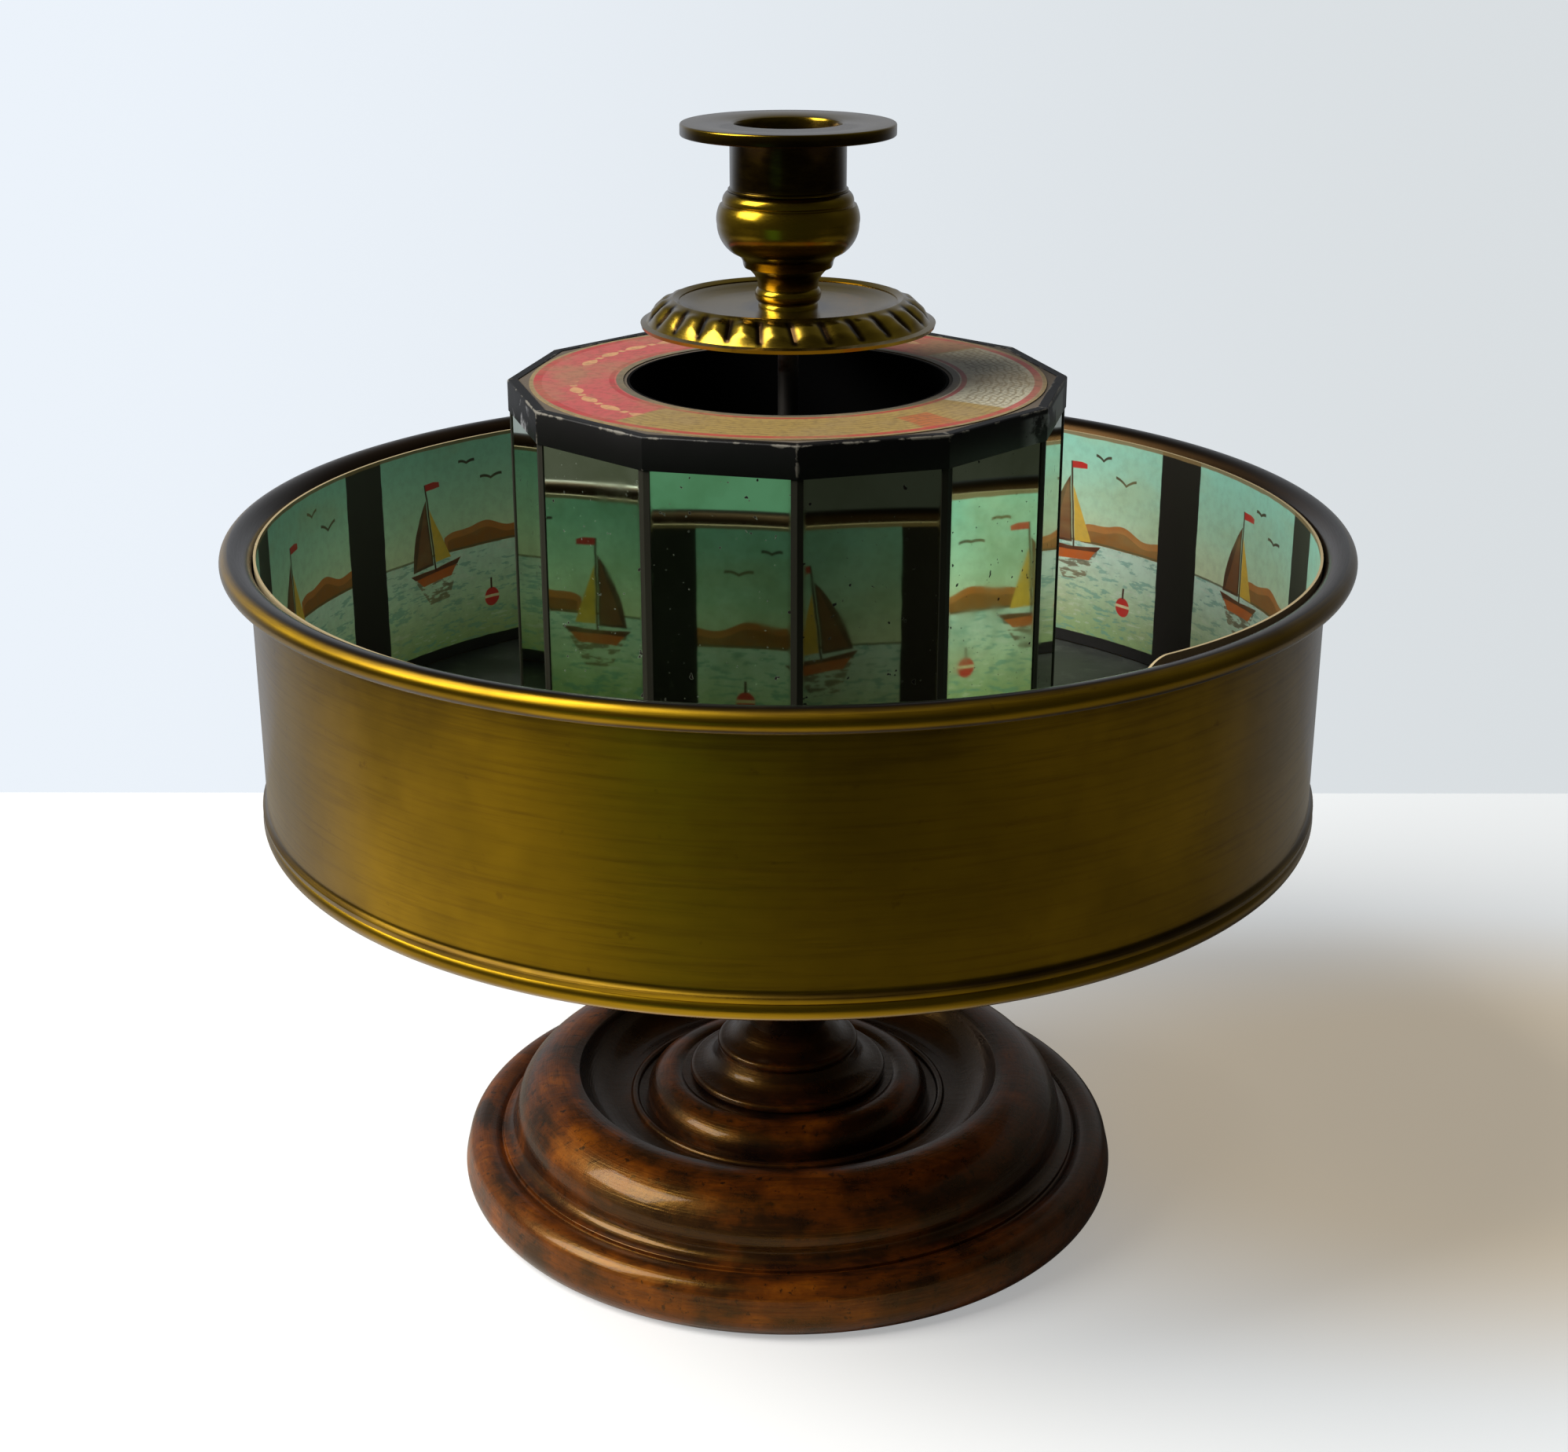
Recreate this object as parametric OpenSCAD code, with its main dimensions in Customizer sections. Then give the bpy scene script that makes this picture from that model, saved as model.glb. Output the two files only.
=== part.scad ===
// Praxinoscope: a drum of twelve mirrors turns in a brass pan that holds a picture
// strip, on a spindle that stands in a turned wooden foot and carries a candle holder.
// Millimetres. +Z is up and is the axis that the drum turns about. The origin is the
// centre of the foot's underside.

/* [Foot] */
// Radius of the foot at its lower roll
foot_r = 69.2; // [66:0.2:76]
// Radius of the lower roll's section, down to the table
foot_roll_r = 4.9; // [4.4:0.1:5.4]
// Radius of the lower roll's upper part, which is a little sharper
foot_brow_r = 3.9; // [3.4:0.1:4.4]
// Height of the upper part's centre above the table
foot_brow_z = 8; // [7.4:0.1:8.2]
// Height of the thin edge between the lower roll and the shoulder
foot_edge_z = 11.4; // [11:0.1:11.6]
// Radius of the circle on which the shoulder roll's centre lies
shoulder_r = 47.8; // [46.8:0.2:49]
// Radius of the shoulder roll's section
shoulder_roll_r = 10.5; // [10:0.1:11]
// Height of the shoulder roll's centre
shoulder_z = 13.9; // [13.4:0.1:14.6]
// Height of the dished floor inside the shoulder
dish_z = 17; // [16.4:0.1:17.6]
// Radius of the cove that leads from the dish up to the shoulder
dish_cove_r = 8.4; // [7.8:0.1:9]
// Radius at which the cove's centre lies
dish_cove_at = 36.2; // [35.8:0.1:36.8]
// Radius of the thin ring turned in the dish
dish_ring_r = 32.8; // [32:0.2:33.4]
// Radius of the circle on which the boss roll's centre lies
boss_r = 24.6; // [24:0.1:25.4]
// Radius of the boss roll's section
boss_roll_r = 5.4; // [5:0.1:5.6]
// Height of the foot's top face, under the column
foot_h = 22.4; // [22:0.1:22.8]
// Radius of the small beads on the foot
foot_bead_r = 0.9; // [0.6:0.1:1.1]
// Height of the boss roll's centre above the dish
boss_rise = 0.6; // [0.4:0.1:0.8]
// Depth of the hollow under the foot
foot_hollow = 2.5; // [1:0.5:4]
// Radius of the hollow under the foot
foot_hollow_r = 54; // [40:1:60]
// Radius of the pocket for the nut
nut_pocket_r = 11; // [9:0.5:14]
// Depth of the nut's pocket, from the hollow's roof
nut_pocket_d = 6.5; // [6:0.5:8]

/* [Column] */
// Height of the column above the foot
column_h = 61.9; // [58:0.1:80]
// Radius of the column's base disc, without its bead
column_base_r = 19.8; // [18:0.1:20.4]
// Radius of the ring above the base disc
column_ring_r = 13.9; // [13:0.1:15]
// Radius of the column's neck
column_neck_r = 8.2; // [7.5:0.1:9]
// Thickness of the column's base disc
column_base_t = 2; // [1.6:0.1:2.4]
// Height of the column's ring above the foot
column_ring_h = 7.2; // [6.8:0.1:7.8]
// Radius of the section of the column's ring and beads
column_bead_r = 1; // [0.6:0.1:1.2]
// Height from the ring to the foot of the baluster
column_neck_l = 4.6; // [4.2:0.1:6]
// Height of the column's head
column_head_l = 6; // [5:0.1:8]
// How far the baluster swells beyond the neck
baluster_swell = 3.8; // [2:0.1:6]
// Radius of the column's head
column_head_r = 10.6; // [9.5:0.1:12]
// Radius of the column's tenon
tenon_r = 8; // [6:0.1:9]
// Length of the column's tenon
tenon_l = 9; // [6:0.1:9.4]

/* [Spindle] */
// Radius of the steel spindle
spindle_r = 2; // [1.6:0.1:2.4]
// Radius of the washers under the foot and on the column
washer_r = 8; // [7:0.5:9]
// Thickness of those washers
washer_t = 1; // [0.8:0.1:1.2]
// Height of the chamfers at the spindle's ends
spindle_tip = 0.8; // [0.4:0.1:1]
// Width across the flats of the spindle's nut
nut_af = 8; // [7:0.5:10]
// Thickness of the nut
nut_t = 3.2; // [2.5:0.1:3.6]
// Length of spindle that stands out below the nut
spindle_tail = 1; // [0.5:0.1:1.5]

/* [Drum] */
// Outer radius of the drum's wall
wall_r = 104.5; // [95:0.5:120]
// Thickness of the drum's sheet brass
sheet_t = 0.6; // [0.4:0.05:0.8]
// Height from the drum's floor to the centre of the rim bead
rim_h = 50; // [45:1:70]
// Outer radius of the rolled beads' section
bead_r = 2.3; // [2:0.1:2.6]
// How far the rim bead's centre lies outside the wall
rim_out = 3.2; // [2.9:0.1:4]
// How far the foot bead's centre lies inside the wall's outer face
foot_bead_in = 1.3; // [1.1:0.1:1.5]
// Radius of the solder cove between the wall and its foot bead
cove_r = 1.4; // [1:0.1:1.8]
// Height from the hub's lower face to the drum's floor sheet
hub_drop = 5.8; // [5:0.1:7]
// Radius of the hub's flange
hub_flange_r = 16; // [14:0.5:20]
// Thickness of the hub's flange
hub_flange_t = 1.6; // [1.2:0.1:2]
// Radius of the hub's boss
hub_r = 7; // [6.5:0.1:8]
// Height of the hub's boss above the drum's floor
hub_rise = 8; // [4:0.5:20]
// Outer radius of the bush in the hub
bush_r = 4.6; // [4.2:0.1:5]
// Radius of the circle of rivets through the hub's flange
rivet_pitch_r = 11.8; // [10.6:0.1:13]
// Number of rivets
rivet_n = 4; // [3:1:6]
// Radius of a rivet's shank
rivet_r = 1.2; // [0.8:0.1:1.4]

/* [Mirror prism] */
// Number of mirrors, and of pictures on the strip
mirror_n = 12; // [10:1:14]
// Radius at the prism's corners
prism_r = 53.7; // [50:0.1:60]
// How far the prism is turned from the row's X axis, in degrees
prism_turn = 1.7; // [-10:0.1:10]
// Height from the drum's floor to the top of the cap
prism_h = 80.6; // [70:0.1:90]
// Thickness of the mirror glass
mirror_t = 2; // [1.5:0.1:3]
// Thickness of the card drum that the mirrors are glued to
core_t = 1.5; // [1:0.1:3]
// Width of a corner tape on each side of its corner
tape_w = 1.1; // [0.8:0.1:2]
// Thickness of the black paper tapes and bands
tape_t = 0.2; // [0.15:0.05:0.3]
// Thickness of the cap board
board_t = 2.5; // [2:0.1:4]
// Height of the cap's black band
cap_band_h = 6.2; // [4:0.1:12]
// Height of the black band round the foot of the mirrors
base_band_h = 3.4; // [2:0.1:6]
// Thickness of the two bands
band_t = 0.45; // [0.35:0.05:0.6]
// Width of the band's lip on top of the cap
lip_w = 1.6; // [0.8:0.1:1.8]
// Inner radius of the black tube in the middle
tube_r = 30.6; // [22:0.1:34]
// Thickness of that tube
tube_t = 0.5; // [0.4:0.1:1.5]
// Outer radius of the printed ring on the cap
label_r = 49.8; // [44:0.1:49.9]
// Width of bare board between the tube and the printed ring
label_margin = 0.7; // [0.3:0.1:3]

/* [Picture strip] */
// Height of the strip
strip_h = 50.2; // [44:0.1:60]
// Thickness of the strip
strip_t = 0.5; // [0.3:0.05:0.7]
// How far the strip's loose end stands above the rest
strip_rise = 1.8; // [0.5:0.1:3]
// Angle over which the loose end rises, in degrees
strip_rise_angle = 44; // [20:1:60]
// Where the loose end lies, in degrees from the row's X axis
strip_end_angle = -54.8; // [-80:0.1:-30]
// Gap between the strip's two ends, in degrees
strip_gap_angle = 0.8; // [0.4:0.1:3]
// Radius of the strip's rounded corner
strip_corner_r = 2; // [1:0.1:2.5]

/* [Candle holder] */
// Height from the cap up to the drip pan's underside
pan_lift = 12.9; // [10:0.1:30]
// Radius of the drip pan
pan_r = 28.25; // [26:0.05:30]
// Radius of the crest from which the gadroons fall
pan_crest_r = 22.2; // [21.5:0.1:22.8]
// Height of the crest above the pan's seat
pan_crest_h = 2; // [1:0.1:3]
// How far the pan's edge lies below the crest
pan_fall = 4.7; // [3.5:0.1:6]
// Radius of the pan's flat floor
pan_flat_r = 16; // [12:0.5:18]
// Thickness of the pan
pan_t = 0.8; // [0.6:0.1:1.2]
// Number of gadroons
gadroon_n = 26; // [16:1:32]
// Height of a gadroon
gadroon_h = 1; // [0.5:0.1:1.4]
// How far a gadroon slants from the crest to its lower end, in degrees
gadroon_slant = 3.8; // [-8:0.1:8]
// Width of the plain lip outside the gadroons
pan_lip = 1.1; // [0.8:0.1:1.4]
// Radius of the candle socket
candle_r = 10; // [9:0.05:10.1]
// Width of the chamfer at the socket's mouth
mouth = 0.8; // [0.5:0.1:0.9]
// Depth of the candle socket
candle_depth = 20.4; // [12:0.1:21.5]
// Outer radius of the socket's neck
neck_r = 11; // [10.9:0.05:11.3]
// Radius of the wax flange
flange_r = 20.3; // [16:0.1:26]
// Thickness of the wax flange at its edge
flange_t = 2.3; // [1.8:0.1:2.6]
// Greatest radius of the cup's bulb
bulb_r = 13.6; // [13.2:0.1:14.6]
// Radius of the cup's stem at its waist
stem_r = 5.8; // [5.4:0.1:6.2]
// Height of the cup, from the pan to the flange's top
cup_h = 34.5; // [34.5:0.1:38]
// Outer radius of the ferrule that plugs on the spindle
ferrule_r = 4.6; // [4:0.1:6]
// Depth of the ferrule's socket
ferrule_depth = 12; // [8:0.1:12.4]
// Length of the ferrule below its flange
ferrule_l = 5; // [4.6:0.1:8]
// Thickness of the ferrule's flange, under the pan
ferrule_flange_t = 1.5; // [1:0.1:2]
// Radius of the ferrule's screwed spigot
spigot_r = 3; // [2.8:0.1:3.5]
// Length of the spigot above the pan
spigot_l = 6; // [5.6:0.1:7]

/* [Fits] */
// Radial clearance of turning and sliding fits
run_clear = 0.05; // [0.03:0.01:0.08]
// Clearance of glued and pushed fits
glue_clear = 0.05; // [0.02:0.01:0.1]
// Gap between pieces that move apart
lift_gap = 0.3; // [0.2:0.05:0.5]

/* [Hidden] */
$fn = 96;
eps = 0.01;
far = 400;

// Heights, from the table up
roll_at = foot_r - foot_roll_r;
brow_at = roll_at + 0.3;
shoulder_edge_r = shoulder_r + shoulder_roll_r;
edge_cove_r = shoulder_z - foot_edge_z;
edge_w = 0.3;
edge_drop = 0.9;
edge_out_r = shoulder_edge_r + edge_cove_r + edge_w;
nut_roof = foot_hollow + nut_pocket_d;
column_top = foot_h + column_h;
collar_top = column_top + washer_t;
bush_bottom = collar_top + lift_gap;
floor_under = bush_bottom + hub_drop;
floor_top = floor_under + sheet_t;
foot_bead_z = floor_top - bead_r;
rim_z = floor_top + rim_h;
cap_top = floor_top + prism_h;
board_top = cap_top - tape_t;
board_under = board_top - board_t;
strip_z = floor_top + lift_gap;
pan_under = cap_top + pan_lift;
pan_top = pan_under + pan_t;
ferrule_bottom = pan_under - ferrule_flange_t - ferrule_l;
ferrule_roof = ferrule_bottom + ferrule_depth;
spindle_top = ferrule_roof - lift_gap;
cup_top = pan_top + cup_h;

// Radii and widths
rim_bead_at = wall_r + rim_out;
foot_bead_at = wall_r - foot_bead_in;
wall_in = wall_r - sheet_t;
strip_out = wall_in - lift_gap;
strip_in = strip_out - strip_t;
half_turn = 180 / mirror_n;
glass_apothem = prism_r * cos(half_turn);
glass_back = glass_apothem - mirror_t;
glass_w = 2 * glass_back * tan(half_turn) - 2 * glue_clear;
core_apothem = glass_back - glue_clear;
tube_out = tube_r + tube_t;
wire_r = bead_r - sheet_t - 2 * glue_clear;
seam = 0.5;

mirror_names = [for (i = [1 : mirror_n]) str("mirror_", i < 10 ? "0" : "", i)];

// Points along a round stretch of a turned outline, between two angles
function arc(r, z, radius, from, to, n = 8) = [for (i = [0 : n])
    let (a = from + (to - from) * i / n) [r + radius * cos(a), z + radius * sin(a)]];

// A block of a turned section, from the axis out to r, between two heights
module slab(r, z0, z1) {
    translate([0, z0]) square([r, z1 - z0]);
}

// A round of a turned section
module round_at(r, z, radius) {
    translate([r, z]) circle(radius);
}

// A ring of sheet or card, seen in section
module band(r_in, r_out, z0, z1) {
    translate([r_in, z0]) square([r_out - r_in, z1 - z0]);
}

// A flat-sided prism with its corners at the given apothem
module prism_solid(apothem, z0, z1) {
    translate([0, 0, z0]) rotate(prism_turn)
        linear_extrude(z1 - z0) circle(apothem / cos(half_turn), $fn = mirror_n);
}

module prism_ring(apothem_in, apothem_out, z0, z1) {
    difference() {
        prism_solid(apothem_out, z0, z1);
        prism_solid(apothem_in, z0 - 1, z1 + 1);
    }
}

// ---- the stand ----

// The foot's outer edge: the lower roll, a thin edge, and a small cove up to the shoulder
edge_outline = concat(
    [[0, 0]],
    arc(roll_at, foot_roll_r, foot_roll_r, -90, 12, 10),
    arc(brow_at, foot_brow_z, foot_brow_r, 14, 136, 12),
    [[edge_out_r, foot_edge_z - edge_drop], [edge_out_r, foot_edge_z]],
    arc(edge_out_r - edge_w, shoulder_z, edge_cove_r, -90, -180, 6),
    [[0, shoulder_z]]);

module foot_section() {
    difference() {
        union() {
            polygon(edge_outline);
            slab(shoulder_r, 0, dish_z);
            difference() {
                round_at(shoulder_r, shoulder_z, shoulder_roll_r);
                round_at(dish_cove_at, dish_z + dish_cove_r, dish_cove_r);
                slab(dish_cove_at, dish_z, far);
            }
            round_at(dish_ring_r, dish_z + foot_bead_r / 2, foot_bead_r);
            round_at(boss_r, dish_z + boss_rise, boss_roll_r);
            slab(boss_r, 0, foot_h);
        }
        slab(foot_hollow_r, -1, foot_hollow);
        slab(nut_pocket_r, -1, nut_roof);
        slab(spindle_r + run_clear, -1, far);
        slab(tenon_r + glue_clear, foot_h - tenon_l - 2 * glue_clear, far);
        translate([-far, -far]) square([far, 2 * far]);
    }
}

module foot() {
    color("saddlebrown") rotate_extrude() foot_section();
}

// Radius of the baluster at a height, from 0 at its neck to 1 at its head
function baluster_r(t) = column_neck_r + baluster_swell * pow(sin(180 * pow(t, 0.8)), 1.4);

module column_section() {
    base_top = foot_h + column_base_t;
    ring_z = foot_h + column_ring_h;
    neck_z = ring_z + column_neck_l;
    head_z = column_top - column_head_l;
    fillet = 3;
    head_edge = 1.6;
    steps = 16;
    difference() {
        union() {
            slab(tenon_r, foot_h - tenon_l, foot_h + eps);
            slab(column_base_r, foot_h, base_top);
            round_at(column_base_r, foot_h + column_base_t / 2, column_base_t / 2);
            // the slope up from the base disc, and the hollow above the ring
            polygon([[0, foot_h], [column_base_r - column_bead_r, base_top],
                [column_ring_r + 1.4, base_top + 2.2], [column_ring_r + 0.4, ring_z],
                [column_ring_r - column_bead_r, ring_z + column_bead_r],
                [column_neck_r + 2, neck_z], [column_neck_r, neck_z + fillet],
                [0, neck_z + fillet]]);
            round_at(column_ring_r, ring_z, column_bead_r);
            polygon(concat([[0, neck_z]], [for (i = [0 : steps])
                [baluster_r(i / steps), neck_z + (head_z - neck_z) * i / steps]], [[0, head_z]]));
            slab(column_head_r - column_bead_r, head_z - column_bead_r, head_z + column_bead_r);
            round_at(column_head_r - column_bead_r, head_z, column_bead_r);
            polygon([[0, head_z], [column_neck_r + 0.4, head_z],
                [column_head_r, column_top - head_edge], [column_head_r, column_top],
                [0, column_top]]);
        }
        slab(spindle_r + run_clear, 0, far);
        translate([-far, 0]) square([far, far]);
    }
}

module column() {
    color("saddlebrown") rotate_extrude() column_section();
}

module spindle() {
    bottom = nut_roof - washer_t - nut_t - spindle_tail;
    color("dimgray") rotate_extrude() {
        slab(spindle_r - spindle_tip / 2, bottom, bottom + spindle_tip);
        slab(spindle_r, bottom + spindle_tip, spindle_top - spindle_tip);
        polygon([[0, spindle_top - spindle_tip], [spindle_r, spindle_top - spindle_tip],
            [spindle_r - spindle_tip, spindle_top], [0, spindle_top]]);
    }
}

module washer_at(z) {
    translate([0, 0, z]) difference() {
        cylinder(r = washer_r, h = washer_t);
        translate([0, 0, -1]) cylinder(r = spindle_r + glue_clear, h = washer_t + 2);
    }
}

module spindle_washer() {
    color("silver") washer_at(nut_roof - washer_t);
}

module spindle_nut() {
    color("dimgray") translate([0, 0, nut_roof - washer_t - nut_t]) difference() {
        intersection() {
            cylinder(r = nut_af / 2 / cos(30), h = nut_t, $fn = 6);
            cylinder(r1 = nut_af / 2 + 0.1, r2 = nut_af / 2 + 0.1 + nut_t * 1.5, h = nut_t);
        }
        translate([0, 0, -1]) cylinder(r = spindle_r + glue_clear, h = nut_t + 2);
    }
}

module thrust_collar() {
    color("goldenrod") washer_at(column_top);
}

// ---- the drum ----

// A rolled bead: a tube of sheet, open by a seam on its hidden side
module bead_section(r, z, seam_angle) {
    difference() {
        round_at(r, z, bead_r);
        round_at(r, z, bead_r - sheet_t);
        translate([r, z]) rotate(seam_angle) translate([0, -seam / 2]) square([2 * bead_r, seam]);
    }
}

module wall_section() {
    flare_r = rim_bead_at - wall_in;
    flare_z = rim_z + bead_r - flare_r;
    difference() {
        union() {
            band(wall_in, wall_r, foot_bead_z, flare_z);
            intersection() {
                round_at(rim_bead_at, flare_z, flare_r);
                band(wall_in - 1, rim_bead_at, flare_z, far);
            }
            difference() {
                band(wall_r - eps, wall_r + cove_r, foot_bead_z, floor_top + cove_r);
                round_at(wall_r + cove_r, floor_top + cove_r, cove_r);
            }
        }
        round_at(rim_bead_at, flare_z, flare_r - sheet_t);
        round_at(rim_bead_at, rim_z, bead_r - sheet_t / 2);
        round_at(foot_bead_at, foot_bead_z, bead_r);
        slab(far, 0, foot_bead_z + bead_r / 2);
    }
    bead_section(rim_bead_at, rim_z, 225);
}

module drum_wall() {
    color("darkgoldenrod") rotate_extrude() wall_section();
}

module rim_wire() {
    color("dimgray") rotate_extrude() round_at(rim_bead_at, rim_z, wire_r);
}

module floor_section() {
    bead_section(foot_bead_at, foot_bead_z, 165);
    difference() {
        band(hub_r + glue_clear, foot_bead_at, floor_under, floor_top);
        round_at(foot_bead_at, foot_bead_z, bead_r - sheet_t / 2);
    }
}

// The places of the rivets through the hub's flange
module at_rivets() {
    for (i = [0 : rivet_n - 1])
        rotate(360 * i / rivet_n) translate([rivet_pitch_r, 0, 0]) children();
}

module rivet_holes() {
    at_rivets() translate([0, 0, floor_under - hub_flange_t - 1])
        cylinder(r = rivet_r + glue_clear, h = hub_flange_t + sheet_t + 2);
}

module floor_pan() {
    color("darkslategray") difference() {
        rotate_extrude() floor_section();
        rivet_holes();
    }
}

module hub() {
    color("goldenrod") difference() {
        rotate_extrude() difference() {
            union() {
                slab(hub_flange_r, floor_under - hub_flange_t, floor_under);
                slab(hub_r, bush_bottom + washer_t, floor_top + hub_rise);
            }
            slab(bush_r + glue_clear, 0, far);
        }
        rivet_holes();
    }
}

module hub_bush() {
    color("peru") rotate_extrude() difference() {
        union() {
            slab(bush_r, bush_bottom, floor_top + hub_rise + 0.5);
            slab(hub_r - 0.5, bush_bottom, bush_bottom + washer_t);
        }
        slab(spindle_r + run_clear, 0, far);
    }
}

// A rivet's low head, standing on the height 0
module rivet_head() {
    head_r = 1.8 * rivet_r;
    head_h = 0.7 * rivet_r;
    polygon([[0, 0], [head_r, 0], [0.7 * head_r, 0.8 * head_h], [0, head_h]]);
}

module hub_rivets() {
    color("goldenrod") at_rivets() rotate_extrude() {
        slab(rivet_r, floor_under - hub_flange_t, floor_top);
        translate([0, floor_top]) rivet_head();
        translate([0, floor_under - hub_flange_t]) mirror([0, 1]) rivet_head();
    }
}

// ---- the mirror prism ----

module prism_core() {
    color("saddlebrown")
        prism_ring(core_apothem - core_t, core_apothem, floor_top, board_under);
}

module mirror_plate(i) {
    color("lightcyan") rotate(prism_turn + half_turn * (2 * i + 1))
        translate([glass_back, -glass_w / 2, floor_top])
            cube([mirror_t, glass_w, board_under - floor_top]);
}

// Wedges that keep only the neighbourhood of the prism's corners
module at_corners(z0, z1) {
    for (i = [0 : mirror_n - 1])
        rotate(prism_turn + 360 * i / mirror_n)
            translate([prism_r / 2, -tape_w, z0]) cube([prism_r, 2 * tape_w, z1 - z0]);
}

module corner_tapes() {
    color("black") intersection() {
        prism_ring(glass_apothem, glass_apothem + tape_t,
            floor_top + base_band_h, cap_top - cap_band_h);
        at_corners(floor_top, cap_top);
    }
}

module base_band() {
    color("black") prism_ring(glass_apothem, glass_apothem + band_t,
        floor_top, floor_top + base_band_h);
}

module inner_tube() {
    color("black") rotate_extrude() band(tube_r, tube_out, floor_top, cap_top - tape_t);
}

module cap_board() {
    color("dimgray") difference() {
        prism_solid(glass_apothem, board_under, board_top);
        cylinder(r = tube_out + glue_clear, h = far);
    }
}

module cap_band() {
    color("black") {
        prism_ring(glass_apothem, glass_apothem + band_t, cap_top - cap_band_h, board_top);
        prism_ring(glass_apothem - lip_w, glass_apothem + band_t, board_top, cap_top);
    }
}

module cap_label() {
    color("indianred") rotate_extrude()
        band(tube_out + label_margin, label_r, board_top, cap_top);
}

// ---- the picture strip ----

module strip_band(angle, h) {
    rotate(strip_end_angle) rotate_extrude(angle = angle)
        band(strip_in, strip_out, strip_z, strip_z + h);
}

// The loose end's upper edge falls away in one straight cut, which meets the strip's
// upper edge a little before the end of the rise
module rise_cut() {
    run = 0.9 * 2 * strip_out * sin(strip_rise_angle / 2);
    slope = atan(strip_rise / run);
    rotate(strip_end_angle) translate([strip_out, 0, strip_z + strip_h + strip_rise])
        rotate(90 + strip_rise_angle / 2) rotate([0, slope, 0])
            translate([-5, -far / 2, 0]) cube([far, far, far]);
}

module end_corner() {
    rotate(strip_end_angle) translate([strip_in - 2, 0, strip_z + strip_h + strip_rise])
        rotate([90, 0, 90]) linear_extrude(strip_t + 4) difference() {
            translate([-1, -strip_corner_r]) square([strip_corner_r + 1, strip_corner_r + 1]);
            translate([strip_corner_r, -strip_corner_r]) circle(strip_corner_r);
        }
}

module picture_strip() {
    color("turquoise") difference() {
        union() {
            strip_band(360 - strip_gap_angle, strip_h);
            difference() {
                strip_band(strip_rise_angle, strip_h + strip_rise);
                rise_cut();
            }
        }
        end_corner();
    }
}

// ---- the candle holder ----

module holder_ferrule() {
    color("darkgoldenrod") rotate_extrude() difference() {
        union() {
            slab(ferrule_r, ferrule_bottom, pan_under);
            slab(ferrule_r + 3, pan_under - ferrule_flange_t, pan_under);
            slab(spigot_r, pan_under, pan_top + spigot_l);
        }
        slab(spindle_r + run_clear, ferrule_bottom - 1, ferrule_roof);
    }
}

// The pan's edge, in order round its section: radius, height, share of the emboss.
// It falls from the crest to the lip, which is nearly flat.
lip_drop = 0.3;
lip_at = pan_r - pan_lip;
pan_drop = (pan_fall - lip_drop) / (lip_at - pan_crest_r);
function fall_z(r) = pan_top + pan_crest_h - (r - pan_crest_r) * pan_drop;
function edge_point(r, share) = [r, fall_z(r), share];
edge_top = [[pan_crest_r - 1.6, pan_top + pan_crest_h - 0.5, 0],
    edge_point(pan_crest_r, 0),
    edge_point(pan_crest_r + 0.9, 0.5),
    edge_point(pan_crest_r + 2.2, 1),
    edge_point(lip_at - 1, 0.9),
    edge_point(lip_at, 0),
    [pan_r, fall_z(lip_at) - lip_drop, 0]];
lip_round = 0.3;
edge_under = [for (i = [6, 5, 4, 2, 0])
    [edge_top[i][0] - (i == 6 ? lip_round : 0), edge_top[i][1] - pan_t, edge_top[i][2]]];
edge_section = concat(edge_top, edge_under);

// A gadroon's height across its width, and how far it has slanted at a radius
gadroon_steps = 6;
function gadroon(j) = gadroon_h * cos(90 * ((j % gadroon_steps) / gadroon_steps * 2 - 1));
function slant(r) = gadroon_slant * max(0, r - pan_crest_r) / (pan_r - pan_crest_r);

module gadroon_edge() {
    n = gadroon_n * gadroon_steps;
    m = len(edge_section);
    points = [for (j = [0 : n - 1], s = edge_section)
        let (a = 360 * j / n + slant(s[0]))
        [s[0] * cos(a), s[0] * sin(a), s[1] + s[2] * gadroon(j)]];
    faces = [for (j = [0 : n - 1], i = [0 : m - 1], half = [0, 1])
        let (a = j * m + i, b = j * m + (i + 1) % m,
            c = ((j + 1) % n) * m + (i + 1) % m, d = ((j + 1) % n) * m + i)
        half == 0 ? [a, c, b] : [a, d, c]];
    polyhedron(points, faces);
}

module drip_pan() {
    join_r = pan_crest_r - 1.2;
    join_z = pan_top + pan_crest_h - 0.7;
    color("darkgoldenrod") {
        gadroon_edge();
        rotate_extrude() difference() {
            polygon([[0, pan_under], [pan_flat_r, pan_under], [join_r, join_z - pan_t + 0.4],
                [join_r, join_z], [pan_flat_r - 0.3, pan_top], [0, pan_top]]);
            slab(spigot_r + glue_clear, 0, far);
        }
    }
}

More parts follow.
